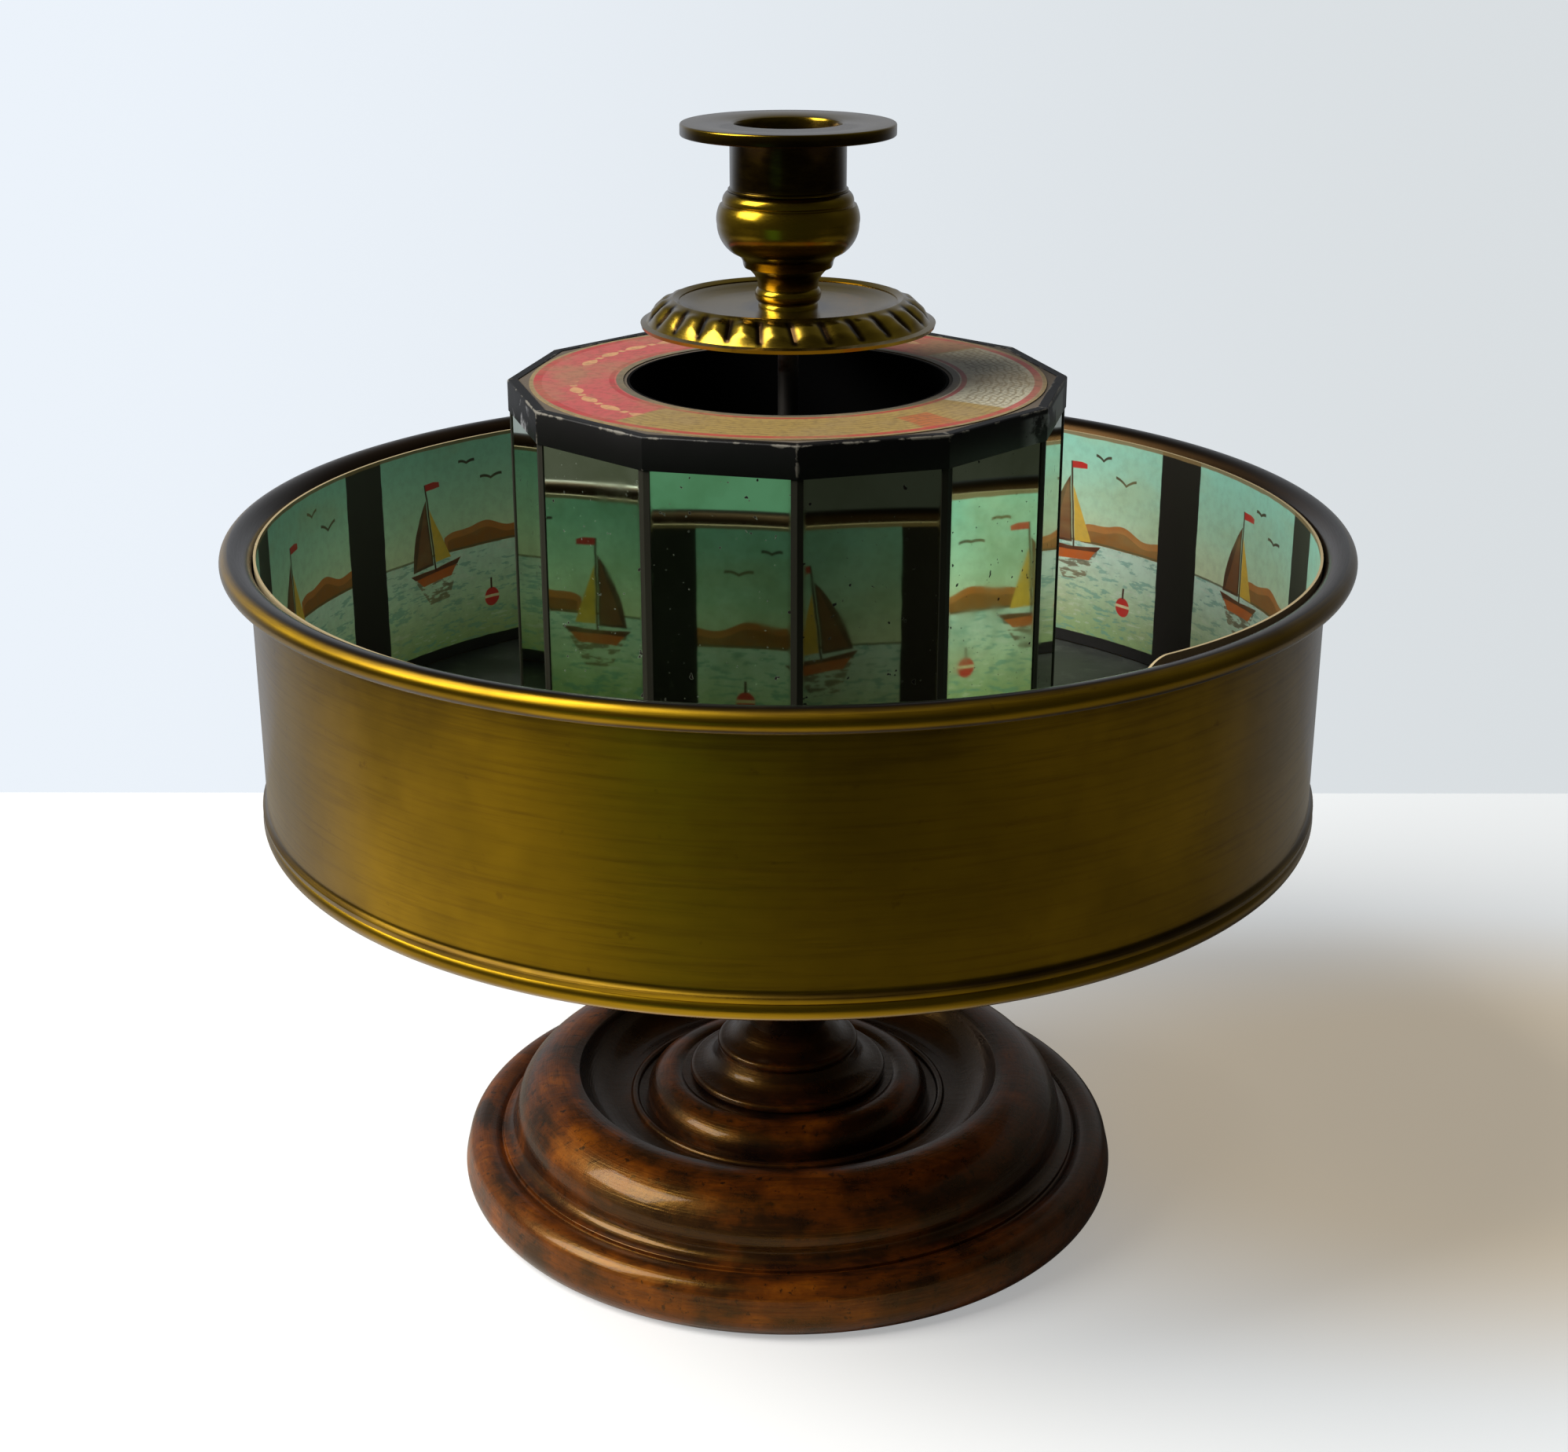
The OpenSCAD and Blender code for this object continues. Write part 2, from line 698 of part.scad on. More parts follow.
// The cup's outline, from the bottom of the candle socket round to its foot
flange_under = cup_top - flange_t;
bulb_z = cup_top - 18.7;
cup_outline = concat(
    [[0, cup_top - candle_depth], [candle_r, cup_top - candle_depth],
        [candle_r, cup_top - mouth], [candle_r + mouth, cup_top]],
    // wax flange and neck
    [[flange_r - 0.4, cup_top], [flange_r, cup_top - 0.4], [flange_r, flange_under + 0.3],
        [flange_r - 0.3, flange_under], [neck_r + 0.8, flange_under - 0.3],
        [neck_r, flange_under - 1]],
    arc(neck_r, bulb_z + 6.4, 0.4, 90, -60, 4),
    // upper band, groove and main band
    arc(bulb_r - 3.3, bulb_z + 4.3, 2.15, 58, -5, 5),
    [[bulb_r - 1.35, bulb_z + 3.85]],
    arc(bulb_r - 6, bulb_z + 0.9, 6, 27, -3, 5),
    // bowl and the steps under it
    arc(bulb_r - 6.6, bulb_z + 0.1, 6.5, -1, -55),
    [[bulb_r - 4.5, bulb_z - 6.1], [bulb_r - 4.9, bulb_z - 6.8], [bulb_r - 5.15, bulb_z - 8],
        [stem_r + 1.6, bulb_z - 8.5], [stem_r + 0.4, bulb_z - 10], [stem_r, bulb_z - 11.1]],
    // foot of the stem
    arc(stem_r - 1.2, pan_top + 2.5, 1.75, 50, -60),
    [[stem_r - 0.1, pan_top + 0.7], [stem_r, pan_top], [spigot_r + glue_clear, pan_top],
        [spigot_r + glue_clear, pan_top + spigot_l + lift_gap], [0, pan_top + spigot_l + lift_gap]]);

module candle_cup() {
    color("darkgoldenrod") rotate_extrude() polygon(cup_outline);
}

// ---- assembly ----

foot();
column();
spindle();
spindle_washer();
spindle_nut();
thrust_collar();
drum_wall();
rim_wire();
floor_pan();
hub();
hub_bush();
hub_rivets();
prism_core();
for (i = [0 : mirror_n - 1])
    mirror_plate(i);
corner_tapes();
base_band();
inner_tube();
cap_board();
cap_band();
cap_label();
picture_strip();
holder_ferrule();
drip_pan();
candle_cup();
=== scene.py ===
# %% [markdown]
# # A praxinoscope, dressed
#
# A praxinoscope shows a short film without a screen. A printed strip lies round the inside of
# a brass drum, and a prism of mirrors stands in the middle. When the drum is spun by hand, each
# mirror holds its picture still for a moment, and the eye joins the pictures up.
#
# The construction is loaded first, as a fixed frame in metres. Everything modelled here is laid
# over it, in the same place and at the same size.

import math

import bpy
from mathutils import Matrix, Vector


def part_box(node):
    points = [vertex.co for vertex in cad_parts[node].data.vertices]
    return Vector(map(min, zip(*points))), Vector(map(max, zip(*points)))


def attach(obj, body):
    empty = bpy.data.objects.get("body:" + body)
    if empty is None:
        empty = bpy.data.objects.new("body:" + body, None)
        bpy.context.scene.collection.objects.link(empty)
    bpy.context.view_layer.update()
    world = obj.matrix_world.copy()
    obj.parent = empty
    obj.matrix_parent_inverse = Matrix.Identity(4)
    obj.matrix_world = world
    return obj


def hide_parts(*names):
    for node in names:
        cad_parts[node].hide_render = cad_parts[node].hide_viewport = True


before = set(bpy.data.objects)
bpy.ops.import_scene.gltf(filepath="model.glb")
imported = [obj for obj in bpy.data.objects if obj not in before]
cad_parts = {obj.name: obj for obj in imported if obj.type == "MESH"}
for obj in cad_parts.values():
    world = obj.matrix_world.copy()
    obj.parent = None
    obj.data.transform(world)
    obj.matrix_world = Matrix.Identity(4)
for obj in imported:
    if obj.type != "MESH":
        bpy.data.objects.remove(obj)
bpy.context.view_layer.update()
MM = 0.001

# %% [markdown]
# ## Camera
#
# The photograph looks down on the drum by about twenty degrees from half a metre away. That
# could be matched by eye, but the rim, the foot and the cap are circles of known height, so
# their ellipses give the height, the distance and the lens directly. The axis of the drum lies
# a few pixels right of the middle of the picture, which is a tiny turn of the camera.

# %% Place the camera
camera_distance = 464.9 * MM
camera_height = 275.2 * MM
camera_pitch = math.radians(20.58)
camera_turn = math.radians(0.097)

bpy.ops.object.camera_add(
    location=(0, -camera_distance, camera_height),
    rotation=(math.pi / 2 - camera_pitch, 0, camera_turn))
camera = bpy.context.object
camera.name = "photo_camera"
camera.data.sensor_fit = "HORIZONTAL"
camera.data.sensor_width = 36
camera.data.lens = 56.0
camera.data.clip_start = 0.01
bpy.context.scene.camera = camera
bpy.context.scene.view_settings.view_transform = "Standard"
print("camera at", [round(v, 3) for v in camera.location])

# %% [markdown]
# ## A short way to write materials
#
# Every finish here is a small network of nodes. It could be wired by hand in the editor, node
# by node. Written as arithmetic it is easier to read: a `Field` is a value that varies over the
# surface, and adding or multiplying fields adds the Math node that does it.

# %% Fields
class Field:
    """The output of a node, which can be added to and multiplied like a number."""

    def __init__(self, recipe, socket):
        self.recipe = recipe
        self.socket = socket

    def __add__(self, other):
        return self.recipe.maths("ADD", self, other)

    def __sub__(self, other):
        return self.recipe.maths("SUBTRACT", self, other)

    def __rsub__(self, other):
        return self.recipe.maths("SUBTRACT", other, self)

    def __mul__(self, other):
        return self.recipe.maths("MULTIPLY", self, other)

    def __truediv__(self, other):
        return self.recipe.maths("DIVIDE", self, other)

    def __neg__(self):
        return self * -1.0

    def __abs__(self):
        return self.recipe.maths("ABSOLUTE", self)

    __radd__ = __add__
    __rmul__ = __mul__


def colour(red, green, blue):
    """A colour read off as 0 to 255, turned into the light values that nodes use."""
    return tuple(((c / 255 + 0.055) / 1.055) ** 2.4 if c > 10 else c / 255 / 12.92
                 for c in (red, green, blue))


print("a pale grey of 217 is", round(colour(217, 217, 217)[0], 3), "in light")

# %% Recipes
class Recipe:
    """A material in the making. Each method adds a node or a few and gives their output."""

    output_kind = "ShaderNodeOutputMaterial"

    def __init__(self, name):
        self.material = bpy.data.materials.new(name)
        self.start("Object")

    def start(self, coordinates):
        self.material.use_nodes = True
        self.tree = self.material.node_tree
        self.tree.nodes.clear()
        self.place = self.node("ShaderNodeTexCoord", coordinates)

    def node(self, kind, output=0, settings=None, **inputs):
        made = self.tree.nodes.new(kind)
        for key, value in (settings or {}).items():
            setattr(made, key, value)
        for key, value in inputs.items():
            self.feed(made.inputs[key.replace("_", " ")], value)
        return Field(self, made.outputs[output])

    def feed(self, socket, value):
        if isinstance(value, Field):
            self.tree.links.new(value.socket, socket)
        else:
            socket.default_value = value

    def maths(self, operation, first, second=0.0, clamp=False):
        made = self.tree.nodes.new("ShaderNodeMath")
        made.operation = operation
        made.use_clamp = clamp
        for socket, value in zip(made.inputs, (first, second)):
            self.feed(socket, value)
        return Field(self, made.outputs[0])

    def most(self, first, *others):
        """The largest of several values."""
        for other in others:
            first = self.maths("MAXIMUM", first, other)
        return first

    def step(self, value, start, end):
        """0 before start, 1 after end, smooth between. End may lie below start."""
        return self.node("ShaderNodeMapRange", settings={"interpolation_type": "SMOOTHSTEP"},
                         Value=value, From_Min=start, From_Max=end, To_Min=0.0, To_Max=1.0)

    def split(self, vector):
        """The x, y and z of a vector."""
        made = self.tree.nodes.new("ShaderNodeSeparateXYZ")
        self.feed(made.inputs[0], vector)
        return [Field(self, output) for output in made.outputs]

    def joined(self, x, y, z):
        return self.node("ShaderNodeCombineXYZ", X=x, Y=y, Z=z)

    def stretched(self, scale, turn=(0, 0, 0)):
        return self.node("ShaderNodeMapping", Vector=self.place, Scale=scale, Rotation=turn)

    def round_place(self):
        """Places on a turned piece, as (angle, radius, height)."""
        x, y, height = self.split(self.place)
        return self.maths("ARCTAN2", x, -y), self.maths("SQRT", x * x + y * y), height

    def noise(self, scale, detail, rough, place=None, distortion=0.0):
        return self.node("ShaderNodeTexNoise", "Fac", Vector=place or self.place, Scale=scale,
                         Detail=detail, Roughness=rough, Distortion=distortion)

    def lathe_marks(self, place, along, across, detail, rough):
        """Noise drawn out along the angle of a round place, as a lathe or a brush leaves it."""
        angle, radius, height = place
        return self.noise(1.0, detail, rough,
                          self.joined(angle * along, radius * across, height * across))

    def ramp(self, share, *stops):
        """A colour ramp through (place, colour) stops."""
        made = self.tree.nodes.new("ShaderNodeValToRGB")
        self.feed(made.inputs[0], share)
        elements = made.color_ramp.elements
        while len(elements) < len(stops):
            elements.new(1.0)
        for element, (where, tone) in zip(elements, stops):
            element.position = where
            element.color = (*tone, 1.0)
        return Field(self, made.outputs[0])

    def rings(self, value, *stops):
        """A grey ramp over a radius or a height, through (millimetres, amount) stops."""
        low, high = stops[0][0], stops[-1][0]
        share = self.node("ShaderNodeMapRange", Value=value, From_Min=low * MM, From_Max=high * MM)
        return self.ramp(share, *(((at - low) / (high - low), (v, v, v)) for at, v in stops))

    def blend(self, share, first, second):
        """Two colours mixed by a share."""
        made = self.tree.nodes.new("ShaderNodeMix")
        made.data_type = "RGBA"
        made.clamp_factor = True
        for socket, value in zip((made.inputs[0], made.inputs[6], made.inputs[7]),
                                 (share, first, second)):
            self.feed(socket, (*value, 1.0) if isinstance(value, tuple) else value)
        return Field(self, made.outputs[2])

    def bump(self, height, strength, depth):
        """A surface that a height raises and lowers by up to a depth in millimetres."""
        return self.node("ShaderNodeBump", Height=height, Strength=strength, Distance=depth * MM)

    def layered(self, share, below, above):
        """Two shaders mixed by a share."""
        made = self.tree.nodes.new("ShaderNodeMixShader")
        for socket, value in zip(made.inputs, (share, below, above)):
            self.feed(socket, value)
        return Field(self, made.outputs[0])

    def close(self, shader):
        """Send a shader to the output."""
        made = self.tree.nodes.new(self.output_kind)
        self.feed(made.inputs["Surface"], shader)
        print(f"finish {self.material.name}: {len(self.tree.nodes)} nodes")
        return self.material

    def finish(self, **inputs):
        """Close the recipe with one Principled shader."""
        return self.close(self.node("ShaderNodeBsdfPrincipled", **inputs))


class RoomRecipe(Recipe):
    """The same arithmetic, for the world round the scene."""

    output_kind = "ShaderNodeOutputWorld"

    def __init__(self, name):
        self.material = bpy.data.worlds.new(name)
        self.start("Generated")


print("recipes ready")

# %% [markdown]
# ## Table, background and light
#
# The toy stands on a white table in front of a pale wall, lit by one large window on the left
# and by little else: that is why the brass is bright on its left and nearly black on its right.
# A real wall behind the table would hide the toy from the back, so the table simply ends where
# the wall would stand, and the world gives the wall's colour. What metal and glass see is the
# room: bright behind, a window on the left, and a dim greenish room round the camera.

# %% The table
table_back = 211 * MM
table_front = -330 * MM
table_side = 1400 * MM


def on_its_own(piece=None):
    """Leave only this piece selected, because an operator acts on all that is selected."""
    if bpy.context.object and bpy.context.object.mode != "OBJECT":
        bpy.ops.object.mode_set(mode="OBJECT")
    bpy.ops.object.select_all(action="DESELECT")
    if piece:
        piece.select_set(True)
        bpy.context.view_layer.objects.active = piece


on_its_own()
bpy.ops.mesh.primitive_plane_add(size=1)
table = bpy.context.object
table.name = "table"
bpy.ops.object.mode_set(mode="EDIT")
bpy.ops.transform.resize(value=(2 * table_side, table_back - table_front, 1))
bpy.ops.transform.translate(value=(0, (table_back + table_front) / 2, 0))
bpy.ops.mesh.subdivide(number_cuts=4)
bpy.ops.object.mode_set(mode="OBJECT")
print("table:", [round(v, 2) for v in table.dimensions])

# %% The table's finish
# Where the table's warm painted shade lies, round the toy's shadow on the right, and its reach.
shade_x, shade_y = 165 * MM, 18 * MM
shade_end, shade_full = 115 * MM, 45 * MM
own_glow = 0.37


def white_table():
    """White to the camera, with painted shade: warm round the toy's shadow on the right, and
    darker where metal and glass see it.
    """
    paper = Recipe("white_table")
    x, y, _ = paper.split(paper.place)
    off_x, off_y = x - shade_x, y - shade_y
    from_shade = paper.maths("SQRT", off_x * off_x * 0.4 + off_y * off_y)
    # Painted shade: a touch darker and bluer to the right, away from the window, and warm round
    # the toy's shadow.
    tone = paper.blend(paper.step(x, -60 * MM, 120 * MM), colour(254, 254, 254),
                       colour(247, 250, 252))
    tone = paper.blend(paper.step(from_shade, shade_end, shade_full), tone, colour(247, 232, 208))
    lit = paper.node("ShaderNodeBsdfDiffuse", Color=tone)
    glow = paper.node("ShaderNodeEmission", Color=tone, Strength=1.0)
    distance = paper.maths("SQRT", x * x + y * y)
    # Painted shade for metal and glass: the table they see is darkened toward the camera and in
    # the toy's shadow on the right, and also darker far off, on the near left and behind the toy.
    reflected_shade = paper.most(
        paper.step(-y, 195 * MM, 290 * MM),                 # toward the camera
        paper.step(x - y * 0.4, 40 * MM, 170 * MM) * 0.8,   # in the toy's shadow, on the right
        paper.step(distance, 440 * MM, 525 * MM),           # far off
        paper.step(-x, 90 * MM, 200 * MM) * paper.step(distance, 330 * MM, 430 * MM) * 0.6,
        paper.step(y, -110 * MM, 90 * MM) * 0.75)           # behind the toy
    mirrored = paper.node("ShaderNodeBsdfDiffuse",
                          Color=paper.blend(reflected_shade, (0.76, 0.73, 0.68), (0.054, 0.054, 0.043)))
    directly = paper.node("ShaderNodeLightPath", "Is Camera Ray")
    return paper.close(paper.layered(directly, mirrored, paper.layered(own_glow, lit, glow)))


table.data.materials.append(white_table())

# %% The room
def room_world():
    """What metal and glass see all round, and the wall's colour for the camera itself."""
    room = RoomRecipe("room")
    across, away, up = room.split(room.place)
    bearing = room.maths("ARCTAN2", across, -away) / (2 * math.pi) + 0.5
    around = room.ramp(
        bearing,
        (0.00, (0.26, 0.27, 0.29)),     # the pale wall behind the toy
        (0.08, (0.36, 0.38, 0.41)),
        (0.14, (0.24, 0.25, 0.26)),
        (0.20, (0.15, 0.15, 0.14)),     # left, under the window
        (0.30, (0.09, 0.09, 0.08)),
        (0.40, (0.07, 0.07, 0.06)),
        (0.52, (0.035, 0.040, 0.030)),  # the dark side of the room
        (0.70, (0.040, 0.040, 0.035)),
        (0.80, (0.06, 0.06, 0.06)),
        (0.87, (0.10, 0.10, 0.10)),
        (0.93, (0.22, 0.23, 0.24)),
        (1.00, (0.26, 0.27, 0.29)))
    green = room.step(abs(bearing - 0.43), 0.036, 0.020) * room.step(up, -0.20, -0.245)
    around = room.blend(green, around, (0.12, 0.29, 0.18))
    ceiling = room.blend(room.step(away, -0.6, 0.6), (0.035, 0.035, 0.035), (0.17, 0.18, 0.19))
    light = room.blend(room.step(up, 0.10, 0.70), around, ceiling)
    wall = room.blend(room.step(across, -0.32, 0.34), colour(236, 243, 251),
                      colour(217, 222, 225))
    directly = room.node("ShaderNodeLightPath", "Is Camera Ray")
    unseen = room.node("ShaderNodeBackground", Color=light, Strength=1.0)
    backdrop = room.node("ShaderNodeBackground", Color=wall, Strength=1.0)
    return room.close(room.layered(directly, unseen, backdrop))


bpy.context.scene.world = room_world()

# %% The window
window_bearing, window_rise = math.radians(-74), math.radians(42)
window_distance = 2.2
aim = Vector((0, 0, 120 * MM))
way = Vector((math.sin(window_bearing) * math.cos(window_rise),
              -math.cos(window_bearing) * math.cos(window_rise),
              math.sin(window_rise)))
bpy.ops.object.light_add(type="AREA", location=aim + way * window_distance,
                         rotation=(-way).to_track_quat("-Z", "Y").to_euler())
window = bpy.context.object
window.name = "window"
window.data.shape = "RECTANGLE"
window.data.size, window.data.size_y = 1.25, 1.9
window.data.energy = 90.0
window.data.color = (1.0, 0.985, 0.95)
print("window at", [round(v, 2) for v in window.location])

# %% [markdown]
# ## Turned shapes
#
# Nearly everything on this toy was turned on a lathe or spun over a former, so it has one
# outline that goes round an axis. Such a piece could be built from cylinders and cones, but then
# its curves would stay separate shapes. Drawing the outline once, point by point, and spinning
# it gives the piece as the lathe does.

# %% Helpers for turned pieces
lathe_steps = 240
weld = 0.004


def arc(radius_at, height_at, radius, start, end, points=12):
    """Points on a circle of an outline, from one angle to another, in degrees."""
    angles = [math.radians(start + (end - start) * i / points) for i in range(points + 1)]
    return [(radius_at + radius * math.cos(a), height_at + radius * math.sin(a)) for a in angles]


def one_point(name, place):
    """A mesh of one point, in edit mode, from which an outline is drawn."""
    on_its_own()
    bpy.ops.mesh.primitive_plane_add(size=MM)
    piece = bpy.context.object
    piece.name = piece.data.name = name
    bpy.ops.object.mode_set(mode="EDIT")
    bpy.ops.mesh.merge(type="CENTER")
    bpy.ops.transform.translate(value=place)
    return piece


def draw_on(outward, upward):
    """Draw the outline on from its last point, by a length in metres each way."""
    bpy.ops.mesh.extrude_region_move(TRANSFORM_OT_translate={"value": (outward, 0, upward)})


def smooth(piece, angle=32):
    """Round where the surface is round, crisp at its edges."""
    on_its_own(piece)
    bpy.ops.object.shade_smooth_by_angle(angle=math.radians(angle))


def turned(name, outline, steps=lathe_steps):
    """Spin an outline of (radius, height) points, in millimetres, into a closed piece."""
    piece = one_point(name, (outline[0][0] * MM, 0, outline[0][1] * MM))
    for (r0, z0), (r1, z1) in zip(outline, outline[1:]):
        draw_on((r1 - r0) * MM, (z1 - z0) * MM)
    bpy.ops.mesh.select_all(action="SELECT")
    bpy.ops.mesh.spin(steps=steps, angle=2 * math.pi, center=(0, 0, 0), axis=(0, 0, 1))
    bpy.ops.mesh.select_all(action="SELECT")
    bpy.ops.mesh.remove_doubles(threshold=weld * MM)
    bpy.ops.mesh.normals_make_consistent(inside=False)
    bpy.ops.object.mode_set(mode="OBJECT")
    smooth(piece)
    return piece


print("lathe:", lathe_steps, "steps to a turn")

# %% Helpers for every piece
def turn_mesh(piece, angle):
    """Turn a piece's mesh about the drum's axis. The object itself stays unturned."""
    on_its_own(piece)
    bpy.ops.object.mode_set(mode="EDIT")
    bpy.ops.mesh.select_all(action="SELECT")
    bpy.ops.transform.rotate(value=-angle, orient_axis="Z", center_override=(0, 0, 0))
    bpy.ops.object.mode_set(mode="OBJECT")


def turn_copy(piece, angle, name):
    """A copy with its own mesh, turned about the drum's axis."""
    on_its_own(piece)
    bpy.ops.object.duplicate()
    made = bpy.context.object
    made.name = made.data.name = name
    turn_mesh(made, angle)
    return made


def reshape(piece, kind, **settings):
    """Add a modifier with its settings, and make what it does part of the mesh."""
    on_its_own(piece)
    made = piece.modifiers.new(kind, kind)
    for key, value in settings.items():
        setattr(made, key, value)
    bpy.ops.object.modifier_apply(modifier=made.name)


def dress(piece, body, slot, material, *nodes):
    """Give a finished piece its finish, the body that carries it and the nodes it stands for."""
    piece.data.materials.append(material)
    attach(piece, body)
    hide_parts(*nodes)
    size = [round(v / MM, 1) for v in piece.dimensions]
    print(f"{piece.name}: {len(piece.data.polygons)} faces, {size} mm")


def paint(material, *nodes):
    """Give construction nodes that are shown as they are a finish."""
    for node in nodes:
        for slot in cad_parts[node].material_slots:
            slot.material = material
    print(material.name, "on", ", ".join(nodes))


print("nodes to dress or paint:", len(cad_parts))

# %% [markdown]
# ## The wooden foot
#
# The foot is one disc of fruitwood, turned with a roll at its edge, a large shoulder, and a
# deep dish round the column. A hundred years of wax lie dark in the hollows, and hands have
# worn the rolls to orange. The hollows also carry painted shade, darkest in the dish under the
# drum. Wear and shade could be painted on anywhere, but both follow the outline: every hollow
# lies at one radius. So the colour is a ramp over the radius, broken up by noise.

# %% Polished wood
def by_radius(*stops):
    """Wear or tarnish that follows the radius, through (millimetres, amount) stops."""
    return lambda recipe, place: recipe.rings(place[1], *stops)


def by_height(*stops):
    """Wear or tarnish that follows the height, through (millimetres, amount) stops."""
    return lambda recipe, place: recipe.rings(place[2], *stops)


def polished_wood(name, wear):
    """French-polished wood. Wear is a function that gives 0 in hollows and 1 on worn rolls.
    Its dark hollows are partly painted shade.
    """
    wood = Recipe(name)
    place = wood.round_place()
    grain = wood.noise(1.0, 6.0, 0.6, wood.stretched((60, 900, 900), (0, 0, 0.35)), 0.6)
    figure = wood.noise(38.0, 3.0, 0.5, distortion=1.4)
    blotch = wood.noise(70.0, 5.0, 0.62)
    speck = wood.noise(520.0, 3.0, 0.7)
    turning = wood.lathe_marks(place, 2.0, 2400.0, 2.0, 0.5)
    lathe = wood.lathe_marks(place, 4.5, 420.0, 5.0, 0.65)
    uneven = (blotch - 0.5) * 1.3 + (figure - 0.5) * 0.7 + (lathe - 0.5) * 0.8
    worn = wood.maths("ADD", wear(wood, place), uneven, clamp=True)
    tone = wood.ramp(worn, (0.0, (0.006, 0.003, 0.003)), (0.32, (0.022, 0.0075, 0.003)),
                     (0.60, (0.105, 0.025, 0.003)), (1.0, (0.290, 0.078, 0.004)))
    tone = wood.blend(wood.step(lathe, 0.56, 0.66) * 0.6, tone, (0.010, 0.004, 0.003))
    tone = wood.blend(wood.step(grain, 0.52, 0.66) * 0.45, tone, (0.014, 0.005, 0.003))
    tone = wood.blend(wood.step(speck, 0.60, 0.68) * 0.85, tone, (0.004, 0.003, 0.003))
    gloss = wood.node("ShaderNodeMapRange", Value=blotch, From_Min=0.35, From_Max=0.7,
                      To_Min=0.24, To_Max=0.40)
    surface = wood.bump(turning * 0.9 + grain * 0.7 + lathe * 1.2 + speck * -0.6, 0.3, 0.20)
    return wood.finish(Base_Color=tone, Roughness=gloss, Normal=surface, Coat_Weight=0.24,
                       Coat_Roughness=0.09, Coat_IOR=1.4, Specular_IOR_Level=0.62,
                       Specular_Tint=(1.0, 0.50, 0.08, 1.0))


# Low stops in the dish under the drum, 31 to 44 mm out, are painted shade as well as old wax.
foot_wood = polished_wood("foot_wood", by_radius(
    (0, 0.10), (21, 0.12), (25.5, 0.52), (29.2, 0.34), (31.0, 0.05), (33.0, 0.26), (36.0, 0.06),
    (41.0, 0.16), (44.0, 0.10), (46.5, 0.52), (52.0, 0.60), (56.5, 0.44), (59.4, 0.26),
    (61.2, 0.44), (64.5, 0.42), (69.3, 0.52)))

# %% Turn the foot
spindle_bore = 2.05
foot_top = 22.4
nut_r, nut_z = 11, 9.0
hollow_r, hollow_z = 54, 2.5
roll_r, roll_at = 4.9, 64.3
brow_r, brow_z, brow_at = 3.9, 8.0, 64.6
shoulder_r, shoulder_z, shoulder_at = 10.5, 13.9, 47.8
lip_r, lip_at = 0.25, 60.85
edge_z = 11.4
edge_cove_r = shoulder_z - edge_z
edge_cove_at = shoulder_at + shoulder_r + edge_cove_r
dish_r, dish_z, dish_at = 8.4, 25.4, 36.2
fillet_r, fillet_z, fillet_at = 0.9, 17.35, 32.8
boss_r, boss_z, boss_at = 5.4, 17.6, 24.6
foot_outline = (
    [(spindle_bore, foot_top), (spindle_bore, nut_z), (nut_r, nut_z), (nut_r, hollow_z),
     (hollow_r, hollow_z), (hollow_r, 0)]
    + arc(roll_at, roll_r, roll_r, -90, 12, 18)
    + arc(brow_at, brow_z, brow_r, 14, 137, 24)
    + [(lip_at + 0.6, edge_z - 0.98), (lip_at + 0.3, edge_z - 0.8)]
    + arc(lip_at, edge_z - lip_r, lip_r, 0, 80, 5)
    + arc(edge_cove_at, shoulder_z, edge_cove_r, -92, -176, 12)
    + arc(shoulder_at, shoulder_z, shoulder_r, 3, 108, 26)
    + arc(dish_at, dish_z, dish_r, -11.5, -90, 14)
    + arc(fillet_at, fillet_z, fillet_r, -10, 190, 8)
    + arc(boss_at, boss_z, boss_r, -8, 104, 16)
    + [(boss_at - 2, foot_top), (spindle_bore, foot_top)])
dress(turned("turned_foot", foot_outline), "base", "turned_wood", foot_wood, "foot")

# %% [markdown]
# ## The column
#
# Between the foot and the drum stands a short column. Only its base disc and ring can be seen
# under the drum; above them it is a plain baluster, as on other stands of this kind.

# %% Turn the column
column_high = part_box("column")[1].z / MM
disc_r, disc_edge_r = 19.8, 1.0
ring_r, ring_z, ring_at = 1.0, 29.6, 13.9
neck_r, neck_z = 8.2, 34.2
belly = 3.8
head_r, head_z, head_at = 1.0, column_high - 6, 9.6
rises = [i / 24 for i in range(25)]
baluster = [(neck_r + belly * math.sin(math.pi * rise ** 0.8) ** 1.4,
             neck_z + (head_z - neck_z) * rise) for rise in rises]
column_outline = (
    [(spindle_bore, column_high), (spindle_bore, foot_top), (disc_r, foot_top)]
    + arc(disc_r, foot_top + disc_edge_r, disc_edge_r, -90, 90, 10)
    + [(18.8, 24.4), (17.2, 24.9), (16.0, 25.7), (15.2, 26.8), (14.6, 28.4)]
    + arc(ring_at, ring_z, ring_r, -70, 90, 10)
    + [(13.2, 30.7), (11.8, 31.3), (10.7, 32.4), (9.8, 33.4)]
    + baluster
    + arc(head_at, head_z, head_r, -70, 80, 8)
    + [(8.9, head_z + 1.3), (9.4, column_high - 2.6), (10.6, column_high - 1.6),
       (10.6, column_high), (spindle_bore, column_high)])
column_wood = polished_wood("column_wood", by_height(
    (22, 0.20), (23.4, 0.36), (25.5, 0.08), (29.6, 0.34), (32, 0.06), (45, 0.42), (60, 0.46),
    (76, 0.15), (85, 0.4)))
dress(turned("turned_column", column_outline), "base", "turned_wood", column_wood, "column")

# %% [markdown]
# ## The brass drum
#
# The wall is a strip of thin sheet brass, rolled round a wire at the rim. Its floor sheet is
# rolled into a second bead underneath. The brass was brushed round the drum and lacquered, and
# the lacquer has gone olive. Brushing makes reflections smear up and down, across the scratches:
# that is what an anisotropic shader does, and fine streaks in the colour finish it.

